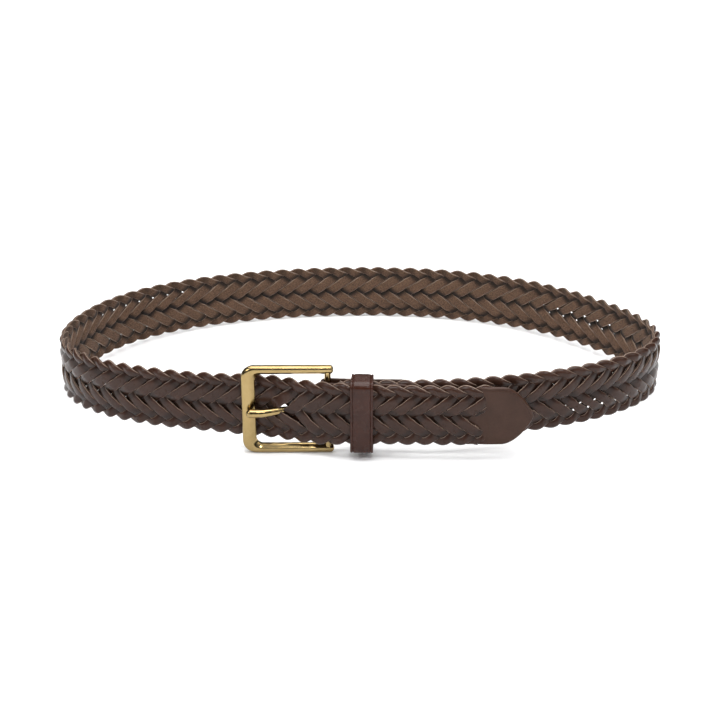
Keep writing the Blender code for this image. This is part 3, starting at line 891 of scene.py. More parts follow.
@dataclass
class Braid:
    """Nine leather strips plaited into a flat strap.

    A strip climbs to the top edge, turns there, runs down to the bottom edge and turns again,
    once every nine pitches. On its way it crosses eight others: over three and under three in
    the middle of the strap and over or under one next to each edge. It always goes from the
    inside to the outside where it turns, so the same face stays outside.
    """

    plan: BeltPlan
    finishes: Finishes
    count: int = 9
    # a strip's widths, thickness and rounded faces
    width: float = 0.0060
    back_width: float = 0.0061
    turn_width: float = 0.0052
    edge_bulge: float = 0.0005
    edge_roll: float = 0.0011
    thickness: float = 0.0015
    crown: float = 0.00036
    flesh_crown: float = 0.00055
    # unevenness of hand work: how much, how long its waves are, and which wave
    width_swing: float = 0.018
    width_wave: float = 0.03
    width_seed: int = 11
    wander: float = 0.0001
    wander_wave: float = 0.021
    wander_seed: int = 31
    bob: float = 0.00006
    bob_wave: float = 0.013
    bob_seed: int = 51
    # the weave: depths and the edge turns, with runs along it in pitches or crossings
    half_lift: float = 0.00128
    arch: float = 0.30
    turn_run: float = 0.0060
    turn_core: float = 0.15
    turn_fade: float = 0.8
    turn_change: float = 0.9
    dives: tuple[float, ...] = (1.5, 4.5, 7.5)
    dive_run: float = 1.95
    dive_lead: float = 0.10
    shingle: float = 0.00028
    # painted shade: how dark a strip is painted where it dives, by its share of the full depth, and how much
    # of it its turns are spared
    recess_start: float = 0.30
    recess_run: float = 0.66
    flesh_turn_light: float = 0.35
    # steps along a strip, and its ends
    start: float = 0.0062
    end_reach: float = 0.0045
    fine_step: float = 0.0002
    margin: float = 0.02
    step: float = 0.0009
    end_sink: float = 0.005
    end_depth: float = 0.35
    # the lowest loops stand on the floor
    floor_lift: float = 0.0011
    floor_reach: float = 0.008
    # strips parted and lifted by the prong, by arc lengths from the end of the first round
    prong_place: float = -0.0308
    prong_push: float = 0.0026
    prong_reach: float = 0.16
    prong_gap: float = 0.25
    prong_fade: float = 0.9
    prong_easing: int = 41
    prong_hump: float = 0.0034
    prong_hump_place: float = -0.0262
    prong_hump_run: float = 0.0062
    prong_hump_height: float = 0.0060
    # the plait lies wider inside the buckle
    buckle_spread: float = 0.065
    spread_place: float = -0.022
    spread_run: float = 0.036
    loop_at_bar: float = -0.0007
    rows: tuple[tuple[float, float], ...] = (
        # place in the plait, share of the strap's width
        (0.0, 0.012),
        (1 / 6, 0.160),
        (1 / 2, 0.492),
        (5 / 6, 0.835),
        (1.0, 0.988),
    )
    slack: tuple[tuple[float, float, float], ...] = (
        # arc lengths where it starts and ends, share of the strap's width
        (0.140, 0.176, 0.66),
        (0.285, 0.348, 0.44),
        (0.600, 0.686, 0.24),
    )
    slack_narrowing: float = 0.0013
    slack_reach: float = 0.10
    slack_fade: float = 0.006
    down_ends: tuple[float, float] = (0.0, -3.3)
    down_border: float = 0.4
    up_ends: tuple[float, float] = (2.0, 4.3)
    up_border: float = 0.6
    section: tuple[tuple[float, float, StripFace], ...] = (
        # share across, share of half the thickness, face up to the next point
        (-0.94, 0.80, StripFace.GRAIN),
        (-0.80, 0.96, StripFace.GRAIN),
        (-0.50, 1.0, StripFace.GRAIN),
        (-0.17, 1.0, StripFace.GRAIN),
        (0.17, 1.0, StripFace.GRAIN),
        (0.50, 1.0, StripFace.GRAIN),
        (0.80, 0.96, StripFace.GRAIN),
        (0.94, 0.80, StripFace.RIM),
        (1.0, 0.50, StripFace.CUT_EDGE),
        (1.0, -0.20, StripFace.RIM),
        (0.86, -0.80, StripFace.FLESH),
        (0.68, -0.95, StripFace.FLESH),
        (0.40, -1.0, StripFace.FLESH),
        (0.0, -1.0, StripFace.FLESH),
        (-0.40, -1.0, StripFace.FLESH),
        (-0.68, -0.95, StripFace.FLESH),
        (-0.86, -0.80, StripFace.RIM),
        (-1.0, -0.20, StripFace.CUT_EDGE),
        (-1.0, 0.50, StripFace.RIM),
    )

    def __post_init__(self) -> None:
        """Works out where the plait's loops fall."""
        places, shares = zip(*self.rows)
        self.row_place = np.array(places)
        self.row_share = np.array(shares)
        plan = self.plan
        self.phase_shift = -float(plan.phase_of_along(plan.girth + self.loop_at_bar))
        self.last = plan.girth + plan.free_end + self.end_reach
        self.end_phase = self.lattice_phase(plan.girth + plan.free_end)

    def lattice_phase(self, along: np.ndarray | float) -> np.ndarray:
        """Gives an arc length in pitches, counted so that the top turns are whole numbers."""
        return self.plan.phase_of_along(along) + self.phase_shift

    def build(self) -> list[bpy.types.Object]:
        """Makes the strips.

        Returns:
            One object for each strip.
        """
        return [self.build_strip(strand) for strand in range(self.count)]

    def build_strip(self, strand: int) -> bpy.types.Object:
        """Makes one strip.

        Args:
            strand: The strip's number, which is the phase of one of its top turns.

        Returns:
            The strip.
        """
        x, y, along = self.centre_line(strand)
        tangent_x, tangent_y = np.gradient(x, along), np.gradient(y, along)
        size = np.hypot(tangent_x, tangent_y)
        side_x, side_y = -tangent_y / size, tangent_x / size
        phase = self.lattice_phase(x)
        nearest = np.round((phase - strand) / (self.count / 2))
        turn_phase = strand + nearest * self.count / 2
        from_turn = np.abs(phase - turn_phase)
        near_turn = 1 - smoothstep((from_turn - self.turn_core) / self.turn_fade)
        uneven = 1 + self.width_swing * waves(along, self.width_wave, self.width_seed + strand)
        half = self.half_width(x, y, from_turn, near_turn) * uneven
        wander = self.wander * waves(along, self.wander_wave, self.wander_seed + strand)
        across = np.array([point[0] for point in self.section])
        level = np.array([point[1] for point in self.section])
        shift = wander[:, None] + half[:, None] * across
        point_x = x[:, None] + shift * side_x[:, None]
        point_y = y[:, None] + shift * side_y[:, None]
        woven = self.weave_depth(point_x, point_y, turn_phase[:, None], nearest[:, None])
        depth = woven + self.lift_over_prong(point_x, point_y, woven)
        depth = depth + self.strip_surface(across, level)
        depth = depth + self.lean(across, nearest, side_y, near_turn)
        depth = depth + self.bob * waves(along, self.bob_wave, self.bob_seed + strand)[:, None]
        rings = self.on_belt(point_x, point_y, depth)
        materials = [self.finishes.grain, self.finishes.cut_edge, self.finishes.flesh, self.finishes.rim]
        faces = [int(point[2]) for point in self.section]
        girth = np.append(across, across[0]) * self.width / 2
        strip = Loft(f"braid_strip_{strand + 1}", rings, materials, faces, run=along, girth=girth).build()
        # painted shade: a mask that darkens the strip where it dives under its neighbours
        shade = strip.data.attributes.new("recess", "FLOAT", "POINT")
        shade.data.foreach_set("value", self.recess(woven, level, near_turn).ravel().astype(np.float32))
        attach(strip, "root")
        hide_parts("braided_strap")
        return strip

    def recess(self, woven: np.ndarray, level: np.ndarray, near_turn: np.ndarray) -> np.ndarray:
        """Gives the painted shade at each point: most where the strip dives under its neighbours, less at
        its turns.

        Args:
            woven: The depths of the strip's middle.
            level: The section's points, above 0 on the grain side.
            near_turn: 1 at a turn, falling to 0 away from it.

        Returns:
            0, no painted shade, in the open; 1, the darkest painted shade, where it dives deepest.
        """
        dive = (np.abs(woven) / self.half_lift - self.recess_start) / self.recess_run
        turn_light = np.where(level > 0, 1.0, self.flesh_turn_light) * near_turn[:, None]
        return (1 - smoothstep(dive)) * (1 - turn_light) ** 2

    def lean(self, across: np.ndarray, nearest: np.ndarray, side_y: np.ndarray, near_turn: np.ndarray
             ) -> np.ndarray:
        """Gives how a strip tips: it rolls inward at its turns and lies like a shingle between them.

        Args:
            across: The section's points, from -1 to 1 across the strip.
            nearest: The nearest turn's number, even at the top edge.
            side_y: How far down the strap the strip's side points.
            near_turn: 1 at a turn, falling to 0 away from it.

        Returns:
            The depth that the tip adds at each point.
        """
        edge_way = np.where(nearest % 2 == 0, -1.0, 1.0) * np.sign(side_y)
        toward_edge = np.clip(across * edge_way[:, None], 0.0, 1.0)
        roll = self.edge_roll * near_turn[:, None] * toward_edge ** 2
        shingled = self.shingle * across * -np.sign(side_y)[:, None] * (1 - near_turn)[:, None]
        return shingled - roll

    def on_belt(self, x: np.ndarray, y: np.ndarray, depth: np.ndarray) -> np.ndarray:
        """Lays a strip's points on the belt, spread inside the buckle and clear of the floor.

        Args:
            x: Arc lengths along the belt.
            y: Distances down from the strap's top edge.
            depth: The points' depths.

        Returns:
            The points.
        """
        to_end = smoothstep((self.last - x) / self.end_sink)
        depth = depth * (self.end_depth + (1 - self.end_depth) * to_end)
        off = (x - self.plan.girth - self.spread_place) / self.spread_run
        spread = 1 + self.buckle_spread * np.exp(-off ** 4)
        height = self.plan.half_belt - spread * (y - self.plan.half_belt)
        points = self.plan.place(x, depth, height)
        points[..., 2] += self.floor_lift * (1 - smoothstep(points[..., 2] / self.floor_reach))
        return points

    def half_width(self, x: np.ndarray, y: np.ndarray, from_turn: np.ndarray, near_turn: np.ndarray
                   ) -> np.ndarray:
        """Gives half a strip's width: it swells where it passes between two crossing strips.

        Args:
            x: Arc lengths along the belt.
            y: Distances down from the strap's top edge.
            from_turn: Pitches from the strip's nearest turn.
            near_turn: 1 at a turn, falling to 0 away from it.

        Returns:
            Half the width at each point.
        """
        plan = self.plan
        pull = (plan.pitch_at(x) - plan.front_pitch) / (plan.back_pitch - plan.front_pitch)
        plain = self.width + (self.back_width - self.width) * pull
        share = y / plan.belt_width
        place = np.interp(share, self.row_share, self.row_place)
        place = np.minimum(place, 1 - place)
        crossing = from_turn + self.count / 2 * place
        swollen = plain + self.edge_bulge * (0.5 - 0.5 * np.cos(2 * math.pi * crossing))
        for start, end, slack_share in self.slack:
            window = smoothstep((x - start) / self.slack_fade) * smoothstep((end - x) / self.slack_fade)
            off = (share - slack_share) / self.slack_reach
            swollen = swollen - self.slack_narrowing * window * np.exp(-off * off)
        return (swollen + (self.turn_width - swollen) * near_turn) / 2

    def lift_over_prong(self, x: np.ndarray, y: np.ndarray, depth: np.ndarray) -> np.ndarray:
        """Gives how far the prong lifts the strips that cover it.

        Args:
            x: Arc lengths along the belt.
            y: Distances down from the strap's top edge.
            depth: The strips' depths without the prong.

        Returns:
            The lift at each point.
        """
        along = (x - self.plan.girth - self.prong_hump_place) / self.prong_hump_run
        down = (y - self.plan.half_belt) / self.prong_hump_height
        outside = smoothstep(depth / self.half_lift + 1.0)
        return self.prong_hump * outside * np.exp(-along * along - down * down)

    def centre_line(self, strand: int) -> tuple[np.ndarray, np.ndarray, np.ndarray]:
        """Traces a strip's middle on the flat strap.

        Args:
            strand: The strip's number.

        Returns:
            Arc lengths along the belt, distances down from the strap's top edge, and the strip's
            own length up to each point.
        """
        x = np.arange(self.start - self.margin, self.last + self.margin, self.fine_step)
        phase = self.lattice_phase(x)
        turn = np.mod(phase - strand, self.count) * 2 / self.count
        place = 1 - np.abs(1 - turn)
        y = np.interp(place, self.row_place, self.row_share) * self.plan.belt_width
        reach = int(round(self.turn_run / self.fine_step))
        weight = 1 + np.cos(np.linspace(-math.pi, math.pi, 2 * reach + 1))
        y = np.convolve(y, weight / weight.sum(), mode="same")
        x = x + self.push_from_prong(x, y)
        keep = (x >= self.start) & (x <= self.last)
        x, y = x[keep], y[keep]
        run = np.concatenate([[0.0], np.cumsum(np.hypot(np.diff(x), np.diff(y)))])
        along = np.linspace(0.0, run[-1], int(run[-1] / self.step))
        return np.interp(along, run, x), np.interp(along, run, y), along

    def push_from_prong(self, x: np.ndarray, y: np.ndarray) -> np.ndarray:
        """Gives how far the prong pushes a strip along the belt.

        Args:
            x: Arc lengths along the belt.
            y: Distances down from the strap's top edge.

        Returns:
            The shift at each point.
        """
        place = np.interp(y / self.plan.belt_width, self.row_share, self.row_place)
        slope = np.sign(np.gradient(place))
        phase = self.lattice_phase(x)
        middle = self.lattice_phase(self.plan.girth + self.prong_place)
        parting = np.round(middle + self.prong_gap - 0.5) + 0.5 - self.prong_gap
        height = np.exp(-((place - 0.5) / self.prong_reach) ** 2)
        shift = np.zeros_like(x)
        for way in (1, -1):
            off = phase - way * self.count / 2 * (place - 0.5) - parting
            near = np.exp(-((np.abs(off) - 0.5) / self.prong_fade) ** 2) * height
            shift += np.where(slope == way, np.sign(off) * near, 0.0)
        easing = np.hanning(self.prong_easing)
        return self.prong_push * np.convolve(shift, easing / easing.sum(), mode="same")

    def weave_depth(self, x: np.ndarray, y: np.ndarray, turn_phase: np.ndarray, nearest: np.ndarray
                    ) -> np.ndarray:
        """Gives how far out the middle of a strip lies.

        Args:
            x: Arc lengths along the belt.
            y: Distances down from the strap's top edge.
            turn_phase: The phase of the strip's nearest turn.
            nearest: That turn's number, even at the top edge.

        Returns:
            The depth at each point.
        """
        phase = self.lattice_phase(x)
        share = y / self.plan.belt_width
        place = np.interp(share, self.row_share, self.row_place)
        reach = self.count / 2
        from_turn = phase - turn_phase
        top = nearest % 2 == 0
        down_crossing = np.where(top, from_turn, from_turn + reach) + reach * place
        up_crossing = np.where(top, -from_turn, reach - from_turn) + reach * place
        down = self.side_of_strip(down_crossing, 1)
        up = self.side_of_strip(up_crossing, -1)
        down_sunk = self.is_sunk(phase - reach * place, place < self.down_border, self.down_ends)
        up_sunk = self.is_sunk(phase + reach * place, place < self.up_border, self.up_ends)
        down = np.where(down_sunk, -1.0, down)
        up = np.where(up_sunk, -1.0, up)
        turned = smoothstep(from_turn / self.turn_change + 0.5)
        before = np.where(top, up, down)
        after = np.where(top, down, up)
        return self.half_lift * (before + (after - before) * turned)

    def is_sunk(self, turn: np.ndarray, upper: np.ndarray, ends: tuple[float, float]) -> np.ndarray:
        """Tells where a strip has gone under the smooth tab for good.

        Args:
            turn: The phase of the strip's top turn.
            upper: Whether each point lies in the strap's upper part.
            ends: The last turn that shows in the upper part and the last one below it, from the
                braid's end.

        Returns:
            Whether each point lies under the tab.
        """
        return turn - self.end_phase > np.where(upper, *ends)

    def side_of_strip(self, crossing: np.ndarray, sign: int) -> np.ndarray:
        """Gives the side that a strip lies on, from 1 outside to -1 inside.

        Args:
            crossing: How many strips it has crossed since the top edge.
            sign: 1 for a strip that runs down from its top turn and -1 for one that climbs to it.

        Returns:
            The side at each point.
        """
        side = np.ones_like(crossing)
        for number, dive in enumerate(self.dives):
            way = -1 if number % 2 == 0 else 1
            middle = dive + way * sign * self.dive_lead
            side = side + way * 2 * smoothstep((crossing - middle) / self.dive_run + 0.5)
        first, second = self.dives[:2]
        bow = np.abs(np.sin(math.pi * (crossing - first) / (second - first)))
        return sign * side * (1 + self.arch * (bow - 0.5))

    def strip_surface(self, across: np.ndarray, level: np.ndarray) -> np.ndarray:
        """Gives the depth of a section's points from the strip's middle.

        Args:
            across: The points' places across the strip, from -1 to 1.
            level: Their shares of half the thickness, above 0 on the grain side.

        Returns:
            The depth of each point.
        """
        depth = level * self.thickness / 2
        swell = 1 - across ** 2
        return depth + np.where(level > 0, self.crown * swell, -self.flesh_crown * swell)


@dataclass
class Plate:
    """A flat piece of leather with a round rim, laid out along the belt."""

    plan: BeltPlan
    thickness: float
    rim: float = 0.0008
    crease_inset: float = 0.0014
    crease_depth: float = 0.00014
    crease_width: float = 0.00022
    shares: tuple[float, ...] = (0.03, 0.2, 0.4, 0.6, 0.8, 0.93)
    insets: tuple[float, ...] = (
        0.0030, 0.0024, 0.0019, 0.0016, 0.0014, 0.0012, 0.0009, 0.0006, 0.0004, 0.0002, 0.00007,
    )

    def rings(self, contour: np.ndarray, outer: FaceDepth, inner: FaceDepth) -> np.ndarray:
        """Gives the plate's rings, from the middle of the outer face over the rim to the inner one.

        Args:
            contour: Arc lengths and heights round the plate.
            outer: A function that gives the outer face's depth at arc lengths and heights.
            inner: The same for the inner face.

        Returns:
            The rings' points.
        """
        before, after = np.roll(contour, 1, axis=0), np.roll(contour, -1, axis=0)
        run = after - before
        run /= np.linalg.norm(run, axis=1)[:, None]
        normal = np.stack([-run[:, 1], run[:, 0]], axis=1)
        middle = contour.mean(axis=0)
        if np.einsum("ij,ij->i", normal, middle - contour).mean() < 0:
            normal = -normal
        core = contour + normal * self.insets[0]
        faces = []
        for face, creased in ((outer, self.crease_depth), (inner, 0.0)):
            rows = [(middle + (core - middle) * share, self.insets[0]) for share in self.shares]
            rows += [(contour + normal * inset, inset) for inset in self.insets]
            faces.append([
                self.lift_row(line, inset, face, outer, inner, creased) for line, inset in rows
            ])
        rim = self.lift_row(contour, 0.0, outer, outer, inner, 0.0)
        return np.array(faces[0] + [rim] + faces[1][::-1])

    def lift_row(self, line: np.ndarray, inset: float, face: FaceDepth, outer: FaceDepth,
                 inner: FaceDepth, creased: float) -> np.ndarray:
        """Gives one ring's points.

        Args:
            line: The ring's arc lengths and heights.
            inset: How far inside the rim it lies.
            face: The face that it lies on.
            outer: The outer face.
            inner: The inner face.
            creased: How deep the line along the rim is pressed in.

        Returns:
            The points.
        """
        half = (outer(line) + inner(line)) / 2
        share = 1 - min(inset / self.rim, 1.0)
        depth = half + (face(line) - half) * math.sqrt(max(0.0, 1 - share * share))
        depth = depth - creased * math.exp(-((inset - self.crease_inset) / self.crease_width) ** 2)
        return self.plan.place(line[:, 0], depth, line[:, 1])


def even_contour(points: np.ndarray, step: float) -> np.ndarray:
    """Places points at even steps round a closed line.

    Args:
        points: The line's corners.
        step: The distance between the new points.

    Returns:
        The new points.
    """
    closed = np.vstack([points, points[:1]])
    run = Loft.path_run(closed)
    where = np.linspace(0.0, run[-1], int(run[-1] / step), endpoint=False)
    return np.stack([np.interp(where, run, closed[:, axis]) for axis in range(2)], axis=1)


@dataclass
class EndTab:
    """The smooth pointed end of the strap, which the last strips grow out of."""

    plan: BeltPlan
    finishes: Finishes
    thickness: float = 0.0028
    point_length: float = 0.0180
    root_length: float = 0.0085
    root_depth: float = 0.00025
    rise_run: float = 0.0042
    crown: float = 0.00035
    fullness: float = 1.8
    bluntness: float = 0.8
    point_steps: int = 30
    step: float = 0.0009
    ripple: float = 0.00008
    ripple_slant: float = 0.4
    ripple_wave: float = 0.011
    ripple_seed: int = 71

    def build(self) -> list[bpy.types.Object]:
        """Makes the tab.

        Returns:
            The tab alone.
        """
        plate = Plate(self.plan, self.thickness)
        rings = plate.rings(self.contour(), self.outer, self.inner)
        tab = Loft("smooth_tab", rings, [self.finishes.smooth]).build()
        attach(tab, "root")
        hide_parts("end_tab")
        return [tab]

    def contour(self) -> np.ndarray:
        """Gives the tab's outline.

        Returns:
            Arc lengths and heights round the tab.
        """
        plan = self.plan
        border = plan.girth + plan.free_end
        start = border - self.root_length
        tip = border + plan.gap + plan.tab_length
        share = np.sin(np.linspace(0.0, math.pi / 2, self.point_steps))
        along = tip - self.point_length * (1 - share)
        half = plan.half_belt * (1 - share ** self.fullness) ** self.bluntness
        upper = np.stack([along, plan.half_belt + half], axis=1)
        lower = np.stack([along, plan.half_belt - half], axis=1)[::-1]
        root = np.array([[start, 0.0], [start, plan.belt_width]])
        return even_contour(np.vstack([upper, lower[1:], root]), self.step)

    def rise(self, line: np.ndarray) -> np.ndarray:
        """Gives the share of its full thickness that the tab has reached."""
        border = self.plan.girth + self.plan.free_end
        return smoothstep((line[:, 0] - border) / (2 * self.rise_run) + 0.5)

    def outer(self, line: np.ndarray) -> np.ndarray:
        """Gives the outer face's depth.

        Args:
            line: Arc lengths and heights.

        Returns:
            The depth at each point.
        """
        off = (line[:, 1] - self.plan.half_belt) / self.plan.half_belt
        full = self.thickness / 2 + self.crown * (1 - off * off)
        slanted = line[:, 0] + self.ripple_slant * line[:, 1]
        ripple = self.ripple * waves(slanted, self.ripple_wave, self.ripple_seed)
        return self.root_depth + (full - self.root_depth + ripple) * self.rise(line)

    def inner(self, line: np.ndarray) -> np.ndarray:
        """Gives the inner face's depth."""
        return -self.root_depth - (self.thickness / 2 - self.root_depth) * self.rise(line)


@dataclass
class Chape:
    """The leather folded round the bar, with its slot for the prong, sewn through the braid."""

    plan: BeltPlan
    finishes: Finishes
    length: float = 0.054
    end_length: float = 0.012
    end_narrowing: float = 0.93
    end_steps: int = 8
    straight_steps: int = 9
    edge: float = 0.0004
    edge_steps: int = 3
    edge_angle: float = 50.0
    slot_share: float = 0.144
    slot_end: float = 0.0040
    stitch_length: float = 0.0024
    stitch_pitch: float = 0.0034
    stitch_radius: float = 0.00028
    stitch_inset: float = 0.0026
    stitch_start: float = 0.006
    stitch_line_points: int = 200
    stitch_points: int = 7
    stitch_sides: int = 8
    stitch_bow: float = 1.3
    stitch_sink: float = 0.6
    stitch_taper: float = 0.55
    fold_steps: int = 14
    rows: tuple[float, ...] = (0.4, 0.6, 0.8, 1.0)

    def build(self) -> list[bpy.types.Object]:
        """Makes the fold and its stitches.

        Returns:
            The fold, and the stitches of each side.
        """
        fold = self.build_fold()
        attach(fold, "root")
        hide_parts("chape")
        threads = [self.build_stitches(side) for side in Layer]
        for thread in threads:
            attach(thread, "root")
        return [fold, *threads]

    def half_height(self, along: np.ndarray) -> np.ndarray:
        """Gives half the panel's height, which rounds off at its end."""
        share = np.clip((along - self.length + self.end_length) / self.end_length, 0.0, 1.0)
        return self.plan.half_belt * np.sqrt(1 - self.end_narrowing * share ** 2)

    def columns(self) -> list[tuple[float, float, float]]:
        """Lays out the fold, from one panel's end round the bar to the other panel's end.

        Returns:
            Each column's arc length, depth and half height.
        """
        middle = self.plan.chape_middle
        straight = self.length - self.end_length
        run = [0.0, self.slot_end, *np.linspace(self.slot_end, straight, self.straight_steps)[1:]]
        turns = [math.pi / 2 * step / self.end_steps for step in range(1, self.end_steps + 1)]
        run += [straight + self.end_length * math.sin(turn) for turn in turns]
        columns = [(along, middle, float(self.half_height(np.array(along)))) for along in reversed(run)]
        for step in range(1, self.fold_steps):
            turn = math.pi * step / self.fold_steps
            columns.append((-middle * math.sin(turn), middle * math.cos(turn), self.plan.half_belt))
        columns += [(along, -middle, float(self.half_height(np.array(along)))) for along in run]
        return columns

    def build_fold(self) -> bpy.types.Object:
        """Makes the folded leather.

        Returns:
            The fold.
        """
        columns = self.columns()
        upper = (self.slot_share, *self.rows)
        rows = np.array([-row for row in reversed(upper)] + list(upper))
        size = len(rows)
        slot_row = len(upper) - 1
        points = []
        for along, depth, half in columns:
            heights = self.plan.half_belt + half * rows
            points += self.plan.place(np.full(size, along), np.full(size, depth), heights).tolist()
        faces = []
        for column in range(len(columns) - 1):
            in_slot = max(columns[column][0], columns[column + 1][0]) <= self.slot_end
            for row in range(size - 1):
                if row == slot_row and in_slot:
                    continue
                corner = column * size + row
                faces.append((corner, corner + size, corner + size + 1, corner + 1))
        mesh = bpy.data.meshes.new("fold_sheet")
        mesh.from_pydata(points, [], faces)
        item = bpy.data.objects.new("folded_chape", mesh)
        bpy.context.scene.collection.objects.link(item)
        wall = item.modifiers.new("leather", "SOLIDIFY")
        wall.thickness = self.plan.chape_thickness
        wall.offset = 0.0
        wall.use_even_offset = True
        rounding = item.modifiers.new("round_rim", "BEVEL")
        rounding.width = self.edge
        rounding.segments = self.edge_steps
        rounding.limit_method = "ANGLE"
        rounding.angle_limit = math.radians(self.edge_angle)
        bpy.context.view_layer.update()
        graph = bpy.context.evaluated_depsgraph_get()
        item.data = bpy.data.meshes.new_from_object(item.evaluated_get(graph))
        item.modifiers.clear()
        item.data.name = "folded_chape"
        item.data.materials.clear()
        item.data.materials.append(self.finishes.smooth)
        item.data.shade_smooth()
        item.data.set_sharp_from_angle(angle=math.radians(self.edge_angle))
        return item

    def build_stitches(self, side: Layer) -> bpy.types.Object:
        """Makes the stitches that show on one panel.

        Args:
            side: The panel's side of the braid.

        Returns:
            The stitches, as one object.
        """
        inset = self.stitch_inset
        start, end = self.slot_end + self.stitch_start, self.length - inset
        along = np.linspace(start, end, self.stitch_line_points)
        upper = np.stack([along, self.half_height(along) - inset], axis=1)
        line = np.vstack([upper, (upper * (1, -1))[::-1]])
        run = Loft.path_run(line)
        surface = side.value * self.plan.chape_outside
        share = np.linspace(0.0, 1.0, self.stitch_points)
        bow = np.sin(math.pi * share)
        rise = side.value * self.stitch_radius * (self.stitch_bow * bow - self.stitch_sink)
        rings = []
        for stitch in range(int(run[-1] / self.stitch_pitch)):
            where = share * self.stitch_length + stitch * self.stitch_pitch
            x, off = np.interp(where, run, line[:, 0]), np.interp(where, run, line[:, 1])
            rings.append(self.thread_rings(x, off, surface + rise, bow))
        return self.join_rings(f"chape_stitches_{side.name.lower()}", rings)

    def thread_rings(self, x: np.ndarray, off: np.ndarray, depth: np.ndarray, bow: np.ndarray) -> np.ndarray:
        """Gives the rings of one stitch, thinner at its ends.

        Args:
            x: Arc lengths along the stitch.
            off: Heights from the middle of the belt.
            depth: The stitch's depths.
            bow: 0 at the stitch's ends, 1 in its middle.

        Returns:
            The rings' points.
        """
        way = np.array([x[-1] - x[0], off[-1] - off[0]])
        way /= np.linalg.norm(way)
        turn = np.arange(self.stitch_sides) * 2 * math.pi / self.stitch_sides
        radius = self.stitch_radius * (1 - self.stitch_taper * (1 - bow))[:, None]
        across, out = radius * np.cos(turn), radius * np.sin(turn)
        along = x[:, None] - way[1] * across
        height = self.plan.half_belt + off[:, None] + way[0] * across
        return self.plan.place(along, depth[:, None] + out, height)

    def join_rings(self, name: str, bodies: list[np.ndarray]) -> bpy.types.Object:
        """Makes one object of several small lofts.

        Args:
            name: The object's name.
            bodies: The rings of each loft.

        Returns:
            The object.
        """
        points, faces = [], []
        for rings in bodies:
            count, around = rings.shape[:2]
            base = len(points)
            points += rings.reshape(-1, 3).tolist()
            for ring in range(count - 1):
                for line in range(around):
                    a = base + ring * around + line
                    b = base + ring * around + (line + 1) % around
                    faces.append((a, b, b + around, a + around))
            faces.append(tuple(range(base, base + around)))
            faces.append(tuple(range(base + (count - 1) * around, base + count * around))[::-1])
        mesh = bpy.data.meshes.new(name)
        mesh.from_pydata(points, [], faces)
        shape = bmesh.new()
        shape.from_mesh(mesh)
        bmesh.ops.recalc_face_normals(shape, faces=shape.faces)
        lie = shape.loops.layers.uv.new("lie")
        for face in shape.faces:
            for loop in face.loops:
                loop[lie].uv = (loop.vert.co.x, loop.vert.co.z)
        shape.to_mesh(mesh)
        shape.free()
        mesh.materials.append(self.finishes.thread)
        mesh.shade_smooth()
        item = bpy.data.objects.new(name, mesh)
        bpy.context.scene.collection.objects.link(item)
        return item


